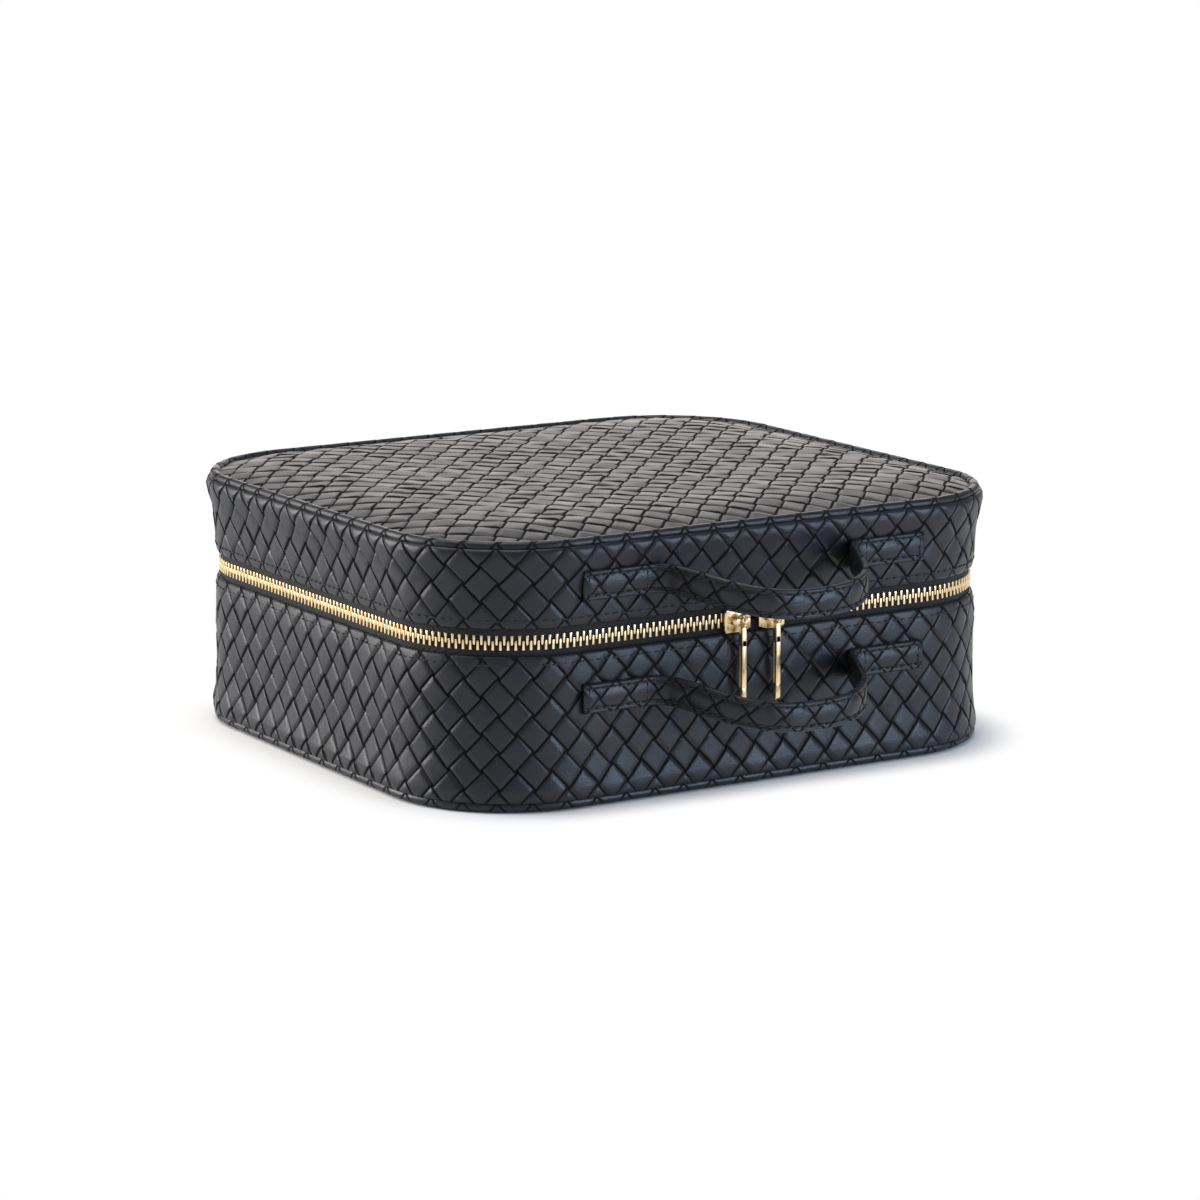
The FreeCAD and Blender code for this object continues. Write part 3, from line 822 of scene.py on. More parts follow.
@dataclass(frozen=True)
class Board:
    """Pressed fibreboard."""

    name: str
    dark: Colour
    light: Colour

    def material(self) -> bpy.types.Material:
        """Builds the board's material."""
        material, graph, shader = new_material(self.name)
        coords = graph.node("ShaderNodeTexCoord")
        fibres = graph.noise(coords.outputs["Object"], 700.0, 8.0)
        tone = graph.ramp(fibres, [(0.3, self.dark), (0.7, self.light)])
        material.node_tree.links.new(tone, shader.inputs["Base Color"])
        shader.inputs["Roughness"].default_value = 0.85
        return material


@dataclass(frozen=True)
class MirrorGlass:
    """Silvered glass with the faintest haze."""

    name: str

    def material(self) -> bpy.types.Material:
        """Builds the mirror's material."""
        material, graph, shader = new_material(self.name)
        coords = graph.node("ShaderNodeTexCoord")
        haze = graph.noise(coords.outputs["Object"], 60.0)
        rough = graph.node("ShaderNodeMapRange", {0: haze, 1: 0.3, 2: 0.8, 3: 0.01, 4: 0.05})
        tone = graph.ramp(haze, [(0.2, (0.88, 0.90, 0.91)), (0.8, (0.94, 0.95, 0.95))])
        material.node_tree.links.new(tone, shader.inputs["Base Color"])
        material.node_tree.links.new(rough.outputs[0], shader.inputs["Roughness"])
        shader.inputs["Metallic"].default_value = 1.0
        return material


class Finish(Enum):
    """Every finish on the case."""

    PLAITED = "plaited_leather"
    PLAIN = "plain_leather"
    THREAD = "thread"
    TAPE = "zip_tape"
    BRASS = "zip_brass"
    LINING = "lining"
    BOARD = "board"
    MIRROR = "mirror"


FINISHES = {
    Finish.PLAITED: Leather(
        "plaited_leather", (0.0062, 0.0070, 0.0112), (0.0115, 0.0127, 0.0190), 0.36, True
    ),
    Finish.PLAIN: Leather("plain_leather", (0.008, 0.0085, 0.010), (0.015, 0.0155, 0.018), 0.40, False),
    Finish.THREAD: Cloth("waxed_thread", (0.012, 0.012, 0.014), (0.022, 0.022, 0.025), 9000.0, 0.1, 0.3),
    Finish.TAPE: Cloth("zip_tape", (0.006, 0.006, 0.008), (0.012, 0.012, 0.014), 4200.0, 0.15, 0.6),
    Finish.BRASS: Metal("zip_brass", (0.84, 0.63, 0.35), (0.95, 0.77, 0.49), 0.30),
    Finish.LINING: Cloth("velvet_lining", (0.020, 0.020, 0.024), (0.038, 0.038, 0.044), 5200.0, 0.8, 0.25),
    Finish.BOARD: Board("fibreboard", (0.22, 0.19, 0.16), (0.34, 0.30, 0.25)),
    Finish.MIRROR: MirrorGlass("mirror_glass"),
}
MATERIALS: dict[Finish, bpy.types.Material] = {}


def dress(obj: bpy.types.Object, finish: Finish) -> None:
    """Gives a piece its one material."""
    if finish not in MATERIALS:
        MATERIALS[finish] = FINISHES[finish].material()
    obj.data.materials.clear()
    obj.data.materials.append(MATERIALS[finish])


def fit(obj: bpy.types.Object, finish: Finish, body: str, *nodes: str) -> bpy.types.Object:
    """Dresses a piece, sets it on its body and hides the CAD nodes that it stands for.

    Args:
        obj: The piece.
        finish: Its finish.
        body: The CAD body it moves with.
        nodes: CAD nodes that it stands for.

    Returns:
        The piece.
    """
    dress(obj, finish)
    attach(obj, body)
    if nodes:
        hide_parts(*nodes)
    LOG.info("%s: %d faces", obj.name, len(obj.data.polygons))
    return obj


# Sub-assemblies.


def facing(normal: Array) -> Matrix:
    """The turn about Z that lays a piece's X along a line with this normal."""
    return Matrix.Rotation(math.atan2(normal[1], normal[0]) + math.pi / 2, 4, "Z")


def stitch(length: float, radius: float) -> bpy.types.Object:
    """One stitch along X, to be copied."""
    corner = np.array([length / 2, radius, radius])
    return rounded_box("stitch", -corner, corner, radius * 0.8, 1)


@dataclass
class Shell:
    """The leather outside of one half: wall, panel, piping and the stitching beside the zip."""

    half: Half
    plait: Plait = field(default_factory=Plait)
    sink: float = 0.35 * MM
    lap: float = 0.5 * MM
    piping: float = 2.0 * MM
    piping_out: float = -0.15 * MM
    base_lean: float = 0.6
    base_lift: float = 0.4 * MM
    crown: float = 4.0 * MM
    crown_reach: float = 32 * MM
    panel_inset: float = 1.75 * MM
    panel_sink: float = 0.9 * MM
    stitch_inset: float = 2.8 * MM
    stitch_pitch: float = 3.4 * MM
    stitch_length: float = 2.3 * MM
    stitch_radius: float = 0.32 * MM

    @property
    def body(self) -> str:
        """Name of the CAD body."""
        return self.half.name.lower()

    def height(self, from_rim: float) -> float:
        """A height counted from this half's outer face towards the zip."""
        return from_rim if self.half is Half.BASE else CASE.height - from_rim

    @property
    def edge(self) -> float:
        """Height of the folded leather edge by the zip."""
        return CASE.zip_height + self.half.value * (CASE.zip_gap / 2 - self.lap)

    def profile(self) -> Track:
        """The wall's profile of outward distance and height, from low to high."""
        away_from_zip, edge = self.half.value, self.edge
        is_base = self.half is Half.BASE
        lift = self.base_lift if is_base else 0.0
        rim = [
            (0.4 * MM, self.height(4.0 * MM + lift)),
            (1.8 * MM, self.height(2.7 * MM + lift)),
            (2.8 * MM, self.height(3.1 * MM + lift)),
            (2.9 * MM, self.height(5.0 * MM)),
            (2.1 * MM, self.height(9.0 * MM)),
            (1.0 * MM, self.height(13.0 * MM)),
            (0.3 * MM, self.height(17.0 * MM)),
            (0.0, self.height(20.0 * MM)),
        ]
        wall = [
            (0.0, edge + away_from_zip * 3 * MM),
            (0.0, edge + away_from_zip * 1.2 * MM),
            (-0.25 * MM, edge),
            (-CASE.cover + 0.2 * MM, edge),
            (-CASE.cover, edge + away_from_zip * 1.4 * MM),
            (-CASE.cover, edge + away_from_zip * 3.0 * MM),
        ]
        lean = self.base_lean if is_base else 1.0
        line = [(away * lean - self.sink, up) for away, up in rim]
        line += [(away - self.sink, up) for away, up in wall]
        if not is_base:
            line = line[::-1]
        return Track(smooth_line(line, 3))

    def wall(self) -> bpy.types.Object:
        """The plaited band round this half, folded in at the zip."""
        profile = self.profile()
        name = f"{self.body}_plaited_wall"
        obj = self.plait.sheet(name, WALL.length, 0.0, profile.length, profile.bends())
        around = along_wall(profile)
        sewn = (self.stitch_inset, self.stitch_inset + 1.6 * MM)

        def mapping(x: Array, y: Array, height: Array) -> tuple[Array, Array, Array]:
            up = profile.at(y)[0][:, 1]
            pressed = np.interp(np.abs(up - self.edge), sewn, (0.4, 1.0))
            rolled = np.interp(np.abs(up - self.height(0.0)), (3.4 * MM, 5.0 * MM), (0.3, 1.0))
            return around(x, y, height * pressed * rolled)

        bend_sheet(obj, mapping)
        return fit(obj, Finish.PLAITED, self.body, f"{self.body}_wall_cover")

    def panel(self) -> bpy.types.Object:
        """The plaited top or bottom panel, cut to the case's outline."""
        reach = CASE.width / 2 + self.plait.repeat
        across = CASE.depth / 2
        obj = self.plait.sheet(f"{self.body}_plaited_panel", 2 * reach + 2 * across, -across, across)
        shift = -math.floor((reach + across) / self.plait.repeat) * self.plait.repeat
        move_vertices(obj, coordinates(obj) + np.array([shift, 0, 0]))
        outline = case_outline(-self.panel_inset, 9)
        ends = np.roll(outline, -1, axis=0)
        for start, end in zip(outline, ends):
            step = end - start
            if np.linalg.norm(step) > 1e-6:
                cut(obj, (*start, 0), (step[1], -step[0], 0))
        up = self.half is Half.LID
        corner = (CASE.width / 2 - CASE.corner, CASE.depth / 2 - CASE.corner)

        def mapping(x: Array, y: Array, height: Array) -> tuple[Array, Array, Array]:
            if up:
                past = np.abs(x) - corner[0], np.abs(y) - corner[1]
                rounded = np.hypot(np.maximum(past[0], 0), np.maximum(past[1], 0))
                inside = CASE.corner - rounded - np.minimum(np.maximum(*past), 0)
                slack = 1 - np.clip(inside / self.crown_reach, 0, 1)
                swell = self.crown * (1 - slack**2)
                return x, y, CASE.panel_face - self.panel_sink + swell + height
            # The bottom is pressed flat where it stands.
            return x, -y, np.maximum(self.plait.relief - height, 0)

        bend_sheet(obj, mapping)
        return fit(obj, Finish.PLAITED, self.body, f"{self.body}_{'top' if up else 'bottom'}_cover")

    def welt(self) -> bpy.types.Object:
        """The piping in the rim's seam: a cord covered with the same leather."""
        middle = self.height(self.piping + (0.2 * MM if self.half is Half.BASE else 0.0))
        turns = np.linspace(-math.pi, math.pi, 25)
        radius = self.piping - 0.4 * MM
        circle = np.c_[self.piping_out + radius * np.cos(turns), middle + radius * np.sin(turns)]
        profile = Track(circle)
        soft = Plait(relief=0.22 * MM)
        name = f"{self.body}_plaited_piping"
        obj = soft.sheet(name, WALL.length, 0.0, profile.length, profile.bends(24))
        bend_sheet(obj, along_wall(profile))
        return fit(obj, Finish.PLAITED, self.body, f"{self.body}_piping")

    def stitches(self) -> bpy.types.Object:
        """One row of stitches that holds the zip tape, round the front and sides."""
        pattern = stitch(self.stitch_length, self.stitch_radius)
        height = self.edge + self.half.value * self.stitch_inset
        count = int(WALL.length / self.stitch_pitch)
        distances = np.arange(count) * WALL.length / count
        spots, normals = WALL.at(distances)
        proud = 0.05 * MM
        places = [
            Matrix.Translation((spot[0] + normal[0] * proud, spot[1] + normal[1] * proud, height))
            @ facing(normal)
            for spot, normal in zip(spots, normals)
        ]
        obj = copies(f"{self.body}_zip_stitches", pattern, places)
        return fit(obj, Finish.THREAD, self.body)

    def build(self) -> None:
        """Builds and dresses the whole shell."""
        self.wall()
        self.panel()
        self.welt()
        self.stitches()


@dataclass
class Handle:
    """A padded strap of plaited leather with turned edges, its ends sewn flat to the front."""

    half: Half
    centre_height: float
    width: float = 10.5 * MM
    thickness: float = 3.0 * MM
    half_span: float = 45 * MM
    patch: float = 27 * MM
    bow: float = 40 * MM
    root_radius: float = 6 * MM
    bend_radius: float = 24 * MM
    angle: float = 66.0
    sag: float = 7.0 * MM
    stitch_inset: float = 1.75 * MM
    stitch_pitch: float = 3.2 * MM
    stitch_length: float = 2.2 * MM
    stitch_radius: float = 0.28 * MM

    @property
    def body(self) -> str:
        """Name of the CAD body."""
        return self.half.name.lower()

    def line(self) -> Track:
        """The strap's middle line seen from above, from its left end to its right."""
        half = self.thickness / 2
        angle = math.radians(self.angle)
        root, bend = self.root_radius + half, self.bend_radius
        rise = self.bow - self.thickness
        slope = (rise - (root + bend) * (1 - math.cos(angle))) / math.sin(angle)
        wall = -CASE.depth / 2 - half
        left = [(-self.half_span - self.patch, wall)]
        turns = np.linspace(0, angle, 14)
        left += [(-self.half_span + root * math.sin(t), wall - root * (1 - math.cos(t))) for t in turns]
        reach = -self.half_span + root * math.sin(angle) + slope * math.cos(angle) + bend * math.sin(angle)
        left += [
            (reach - bend * math.sin(angle - t), wall - rise + bend * (1 - math.cos(angle - t)))
            for t in turns
        ]
        points = left + [(-x, y) for x, y in reversed(left)]
        finer: list[Point] = []
        for (x0, y0), (x1, y1) in zip(points, points[1:]):
            steps = max(1, int(math.hypot(x1 - x0, y1 - y0) / (1.5 * MM)))
            finer += [(x0 + (x1 - x0) * i / steps, y0 + (y1 - y0) * i / steps) for i in range(steps)]
        return Track(np.array(finer + points[-1:]))

    def section(self) -> Track:
        """The strap's closed section of outward distance and height: turned edges with a sewn groove."""
        half_width, half = self.width / 2, self.thickness / 2 - 0.45 * MM
        front = [
            (0.0, -half_width),
            (half * 0.95, -half_width),
            (half + 0.35 * MM, -half_width + 0.7 * MM),
            (half + 0.25 * MM, -half_width + 1.25 * MM),
            (half - 0.45 * MM, -half_width + self.stitch_inset),
            (half - 0.1 * MM, -half_width + self.stitch_inset + 0.6 * MM),
            (half - 0.05 * MM, -1.2 * MM),
        ]
        section = front + [(away, -up) for away, up in reversed(front)]
        section += [(-half, half_width), (-half, -half_width)]
        return Track(smooth_line(section, 2, closed=True), closed=True)

    def drop(self, along: Array, length: float) -> Array:
        """How far the soft strap hangs down at distances along it."""
        free = np.clip((along - self.patch) / (length - 2 * self.patch), 0, 1)
        return self.sag * np.sin(math.pi * free) ** 2

    def strap(self) -> bpy.types.Object:
        """The plaited strap."""
        line, section = self.line(), self.section()
        plait = Plait(relief=0.42 * MM)
        folds = [bend * plait.tall / section.length for bend in section.bends(8, 0.3 * MM)]
        name = f"{self.body}_plaited_strap"
        obj = plait.sheet(name, line.length + 3 * plait.repeat, 0.0, plait.tall, folds)
        move_vertices(obj, coordinates(obj) - np.array([2 * plait.repeat, 0, 0]))
        cut(obj, (0, 0, 0), (-1, 0, 0))
        cut(obj, (line.length, 0, 0), (1, 0, 0))
        for bend in line.bends(5, 1.0 * MM):
            cut(obj, (bend, 0, 0), (1, 0, 0), keep=True)

        def mapping(x: Array, y: Array, height: Array) -> tuple[Array, Array, Array]:
            place, normal = line.at(x)
            spot, outward = section.at(y * section.length / plait.tall)
            inset = self.width / 2 - np.abs(spot[:, 1])
            raised = height * np.interp(inset, (0.5 * MM, self.stitch_inset, 2.6 * MM), (0.0, 0.35, 1.0))
            raised = np.where(spot[:, 0] > 0.3 * MM, raised, 0.0)
            away = spot[:, 0] + raised * outward[:, 0]
            up = self.centre_height + spot[:, 1] + raised * outward[:, 1] - self.drop(x, line.length)
            return place[:, 0] + normal[:, 0] * away, place[:, 1] + normal[:, 1] * away, up

        bend_sheet(obj, mapping)
        only(obj)
        bpy.ops.object.mode_set(mode="EDIT")
        bpy.ops.mesh.select_all(action="SELECT")
        bpy.ops.mesh.fill_holes(sides=0)
        bpy.ops.object.mode_set(mode="OBJECT")
        return fit(obj, Finish.PLAITED, self.body, f"{self.body}_handle")

    def stitches(self) -> bpy.types.Object:
        """Two rows of stitches along the strap and a box of them on each end."""
        pattern = stitch(self.stitch_length, self.stitch_radius)
        line = self.line()
        margin = 2 * MM
        sewn = line.length - 2 * margin
        count = int(sewn / self.stitch_pitch)
        distances = margin + np.arange(count + 1) * sewn / count
        spots, normals = line.at(distances)
        away = self.thickness / 2 - 0.3 * MM
        drops = self.drop(distances, line.length)
        places: list[Matrix] = []
        for row in (-1, 1):
            height = self.centre_height + row * (self.width / 2 - self.stitch_inset)
            for spot, normal, fall in zip(spots, normals, drops):
                place = (spot[0] + normal[0] * away, spot[1] + normal[1] * away, height - fall)
                places.append(Matrix.Translation(place) @ facing(normal))
        upright = Matrix.Rotation(math.pi / 2, 4, "Y")
        face = -CASE.depth / 2 - self.thickness + 0.25 * MM
        columns = (self.half_span + 1.5 * MM, self.half_span + self.patch - self.stitch_inset)
        for end, across, step in product((-1, 1), columns, (-1, 0, 1)):
            place = (end * across, face, self.centre_height + step * 2.4 * MM)
            places.append(Matrix.Translation(place) @ upright)
        obj = copies(f"{self.body}_strap_stitches", pattern, places)
        return fit(obj, Finish.THREAD, self.body)

    def build(self) -> None:
        """Builds and dresses the strap and its stitches."""
        self.strap()
        self.stitches()


@dataclass
class Zip:
    """The zip: two woven tapes with metal teeth, two sliders and their pulls."""

    pitch: float = 2.6 * MM
    tooth_width: float = 1.0 * MM
    tooth_thickness: float = 1.9 * MM
    reach: float = 2.6 * MM
    mesh: float = 0.8 * MM
    parted: float = 6.5 * MM
    tape_edge: float = 0.9 * MM
    tape_far: float = 12.0 * MM
    tape_ribs: int = 15
    tape_columns: int = 420
    rib_height: float = 0.14 * MM
    hinge_half: float = 70 * MM
    spacing: float = 14.5 * MM
    slider_length: float = 11 * MM
    nose_half: float = 4.6 * MM
    tail_half: float = 3.7 * MM
    plate_thickness: float = 1.0 * MM
    chain_face: float = 1.5 * MM
    bar_middle: float = 5.6 * MM
    pull_length: float = 30 * MM

    def tape(self, half: Half) -> bpy.types.Object:
        """One woven tape between its leather edge and the teeth, with a ribbed edge."""
        up = half.value
        face = -CASE.tape_middle - 0.1 * MM
        ribs = np.array([face + (self.rib_height if i % 2 else 0.0) for i in range(self.tape_ribs)])
        near, far = CASE.zip_height + up * self.tape_edge, CASE.zip_height + up * self.tape_far
        heights = np.linspace(near, far, self.tape_ribs)
        reach = WALL.length / 2 - (self.hinge_half + 0.3 * MM)
        obj = grid_sheet(f"{half.name.lower()}_woven_tape", self.tape_columns, self.tape_ribs - 1)
        grid = coordinates(obj)
        row = np.rint((grid[:, 1] + 1) / 2 * (self.tape_ribs - 1)).astype(int)
        place, normal = WALL.at(grid[:, 0] * reach)
        move_vertices(obj, np.c_[place + normal * ribs[row][:, None], heights[row]])
        solid = obj.modifiers.new("thickness", "SOLIDIFY")
        solid.thickness, solid.offset = 0.5 * MM, 0.0
        apply_modifiers(obj)
        clean(obj)
        return fit(obj, Finish.TAPE, half.name.lower(), f"{half.name.lower()}_zip_tape")

    def tooth(self, up: int) -> bpy.types.Object:
        """One tooth: legs crimped on the tape, a waist and a rounded head that meshes."""
        wide, thick = self.tooth_width / 2, self.tooth_thickness / 2
        outline = [
            (-wide, self.reach),
            (-wide * 0.82, 1.0 * MM),
            (-wide * 0.86, 0.0),
            (-wide * 0.62, -self.mesh),
            (wide * 0.62, -self.mesh),
            (wide * 0.86, 0.0),
            (wide * 0.82, 1.0 * MM),
            (wide, self.reach),
        ]
        obj = plate("tooth", outline, 2 * thick, 0.16 * MM)
        placed(obj, Matrix.Translation((0, 0, -thick)))
        placed(obj, Matrix.Rotation(math.pi / 2, 4, "X"))
        if up < 0:
            placed(obj, Matrix.Rotation(math.pi, 4, "Y"))
        return obj

    def teeth(self, half: Half, side: Side) -> bpy.types.Object:
        """All the teeth on one half of one tape."""
        chain = Track(case_outline(-CASE.tape_middle), closed=True)
        quarter = (CASE.corner - CASE.tape_middle) * math.pi / 4
        end = CASE.width / 2 - CASE.corner + CASE.depth - 2 * CASE.corner + 3 * quarter
        step = self.pitch if half is Half.LID else self.pitch / 2
        first = step + self.pitch * math.ceil((self.parted - step) / self.pitch)
        distances = side.value * np.arange(first, end, self.pitch)
        spots, normals = chain.at(distances)
        places = [
            Matrix.Translation((spot[0], spot[1], CASE.zip_height)) @ facing(normal)
            for spot, normal in zip(spots, normals)
        ]
        name = f"{half.name.lower()}_brass_teeth_{side.name.lower()}"
        obj = copies(name, self.tooth(half.value), places)
        node = f"{half.name.lower()}_zip_teeth_{side.name.lower()}"
        return fit(obj, Finish.BRASS, half.name.lower(), node)

    def slider(self, side: Side) -> bpy.types.Object:
        """A slider: two shaped plates, the diamond between them, lower flanges and the bridge."""
        sign = side.value
        nose, tail = -sign * self.slider_length / 2, sign * self.slider_length / 2
        waist = -sign * self.slider_length / 6
        outline = [
            (nose, -self.nose_half + 1.2 * MM),
            (waist, -self.nose_half),
            (tail * 0.86, -self.nose_half + 0.1 * MM),
            (tail, -self.nose_half + 0.9 * MM),
            (tail, self.tail_half - 0.9 * MM),
            (tail * 0.86, self.tail_half),
            (waist, self.nose_half),
            (nose, self.nose_half - 1.2 * MM),
        ]
        if sign < 0:
            outline = outline[::-1]
        upright = Matrix.Rotation(math.pi / 2, 4, "X")
        pieces = []
        for start in (self.chain_face, -self.chain_face - self.plate_thickness):
            flat = plate("plate", outline, self.plate_thickness, 0.32 * MM)
            placed(flat, Matrix.Translation((0, 0, start)))
            pieces.append(placed(flat, upright))
        core = plate(
            "diamond",
            [(nose, -1.0 * MM), (nose + sign * 2.2 * MM, 0), (nose, 1.0 * MM)][:: 1 if sign > 0 else -1],
            2 * self.chain_face + 0.6 * MM,
            0.15 * MM,
        )
        placed(core, Matrix.Translation((0, 0, -self.chain_face - 0.3 * MM)))
        pieces.append(placed(core, upright))
        low, high = -self.nose_half + 0.02 * MM, -self.nose_half + 0.8 * MM
        start, stop = sorted((waist, tail * 0.9))
        for near, far in ((-2.3 * MM, -0.7 * MM), (0.7 * MM, 2.3 * MM)):
            pieces.append(rounded_box("flange", (start, near, low), (stop, far, high), 0.2 * MM))
        bar, half_bar = self.bar_middle, 0.5 * MM
        foot, knee, face = 4.0 * MM, 3.0 * MM, self.chain_face + 0.5 * MM
        arch = [
            (foot, face),
            (foot, bar - 1.2 * MM),
            (foot - 0.5 * MM, bar - 0.2 * MM),
            (knee - 0.2 * MM, bar + half_bar),
            (-knee + 0.2 * MM, bar + half_bar),
            (-foot + 0.5 * MM, bar - 0.2 * MM),
            (-foot, bar - 1.2 * MM),
            (-foot, face),
            (-knee, face),
            (-knee, bar - half_bar),
            (knee, bar - half_bar),
            (knee, face),
        ]
        bridge = plate("bridge", [(x, -y) for x, y in arch][::-1], 2.2 * MM, 0.25 * MM)
        pieces.append(placed(bridge, Matrix.Translation((0, 0, -1.1 * MM))))
        obj = join(f"slider_{side.name.lower()}_polished", pieces)
        spot = (sign * self.spacing / 2, -CASE.depth / 2 + CASE.tape_middle, CASE.zip_height)
        placed(obj, Matrix.Translation(spot))
        name = f"slider_{side.name.lower()}"
        return fit(obj, Finish.BRASS, name, name)

    def pull(self, side: Side) -> bpy.types.Object:
        """A pull tab with a round eye and a slot down its middle."""
        eye_outer, eye_inner, thick = 2.6 * MM, 1.6 * MM, 2.0 * MM
        half, neck, slot, edge = 1.3 * MM, 1.1 * MM, 0.25 * MM, 0.35 * MM
        low, top, eye = -self.pull_length, -6.6 * MM, -2.1 * MM
        rails = []
        for sign in (-1, 1):
            rail = [
                (sign * slot, top - 2.4 * MM),
                (sign * slot, low + 6.0 * MM),
                (sign * half, low + 5.6 * MM),
                (sign * half, top),
            ]
            rails.append(plate("rail", rail if sign < 0 else rail[::-1], thick, edge))
        head = [
            (-half, top - 2.6 * MM),
            (half, top - 2.6 * MM),
            (half, top),
            (neck, eye),
            (-neck, eye),
            (-half, top),
        ]
        foot = [
            (-half, low + 1.0 * MM),
            (-half + 0.8 * MM, low),
            (half - 0.8 * MM, low),
            (half, low + 1.0 * MM),
            (half, low + 6.2 * MM),
            (-half, low + 6.2 * MM),
        ]
        rails += [plate("head", head, thick, edge), plate("foot", foot, thick, edge)]
        clear_selection()
        bpy.ops.mesh.primitive_torus_add(
            major_radius=(eye_outer + eye_inner) / 2,
            minor_radius=(eye_outer - eye_inner) / 2,
            major_segments=36,
            minor_segments=12,
        )
        ring = bpy.context.object
        move_vertices(ring, coordinates(ring) * np.array([1, 1, 1.7]) + np.array([0, 0, thick / 2]))
        clean(ring)
        obj = join(f"pull_{side.name.lower()}_polished", rails + [ring])
        placed(obj, Matrix.Translation((0, 0, -thick / 2)))
        placed(obj, Matrix(((0, 0, 1, 0), (1, 0, 0, 0), (0, 1, 0, 0), (0, 0, 0, 1))))
        spot = (
            side.value * self.spacing / 2,
            -CASE.depth / 2 + CASE.tape_middle - self.bar_middle,
            CASE.zip_height,
        )
        placed(obj, Matrix.Translation(spot))
        name = f"pull_{side.name.lower()}"
        return fit(obj, Finish.BRASS, name, name)

    def build(self) -> None:
        """Builds and dresses the whole zip."""
        for half in Half:
            self.tape(half)
            for side in Side:
                self.teeth(half, side)
        for side in Side:
            self.slider(side)
            self.pull(side)


@dataclass
class Hinge:
    """The leather strip at the back, which on the real case bends as the lid opens; here it is built flat."""

    half_width: float = 70 * MM
    overlap: float = 9 * MM
    thickness: float = 0.8 * MM

    def build(self) -> None:
        """Builds the strip in many rows, with faint ripples across it."""
        low = CASE.zip_height - CASE.zip_gap / 2 - self.overlap
        high = CASE.zip_height + CASE.zip_gap / 2 + self.overlap
        middle = CASE.depth / 2 - CASE.tape_middle
        obj = grid_sheet("hinge_leather", 70, 40)
        grid = coordinates(obj)
        height = (low + high) / 2 + grid[:, 1] * (high - low) / 2
        folds = 0.08 * MM * np.sin(height / (1.4 * MM))
        move_vertices(obj, np.c_[grid[:, 0] * self.half_width, middle + folds, height])
        solid = obj.modifiers.new("thickness", "SOLIDIFY")
        solid.thickness, solid.offset = self.thickness - 0.16 * MM, 0.0
        apply_modifiers(obj)
        clean(obj)
        dress(obj, Finish.PLAIN)
        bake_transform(obj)
        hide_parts("hinge_panel")
        LOG.info("%s: %d faces", obj.name, len(obj.data.polygons))


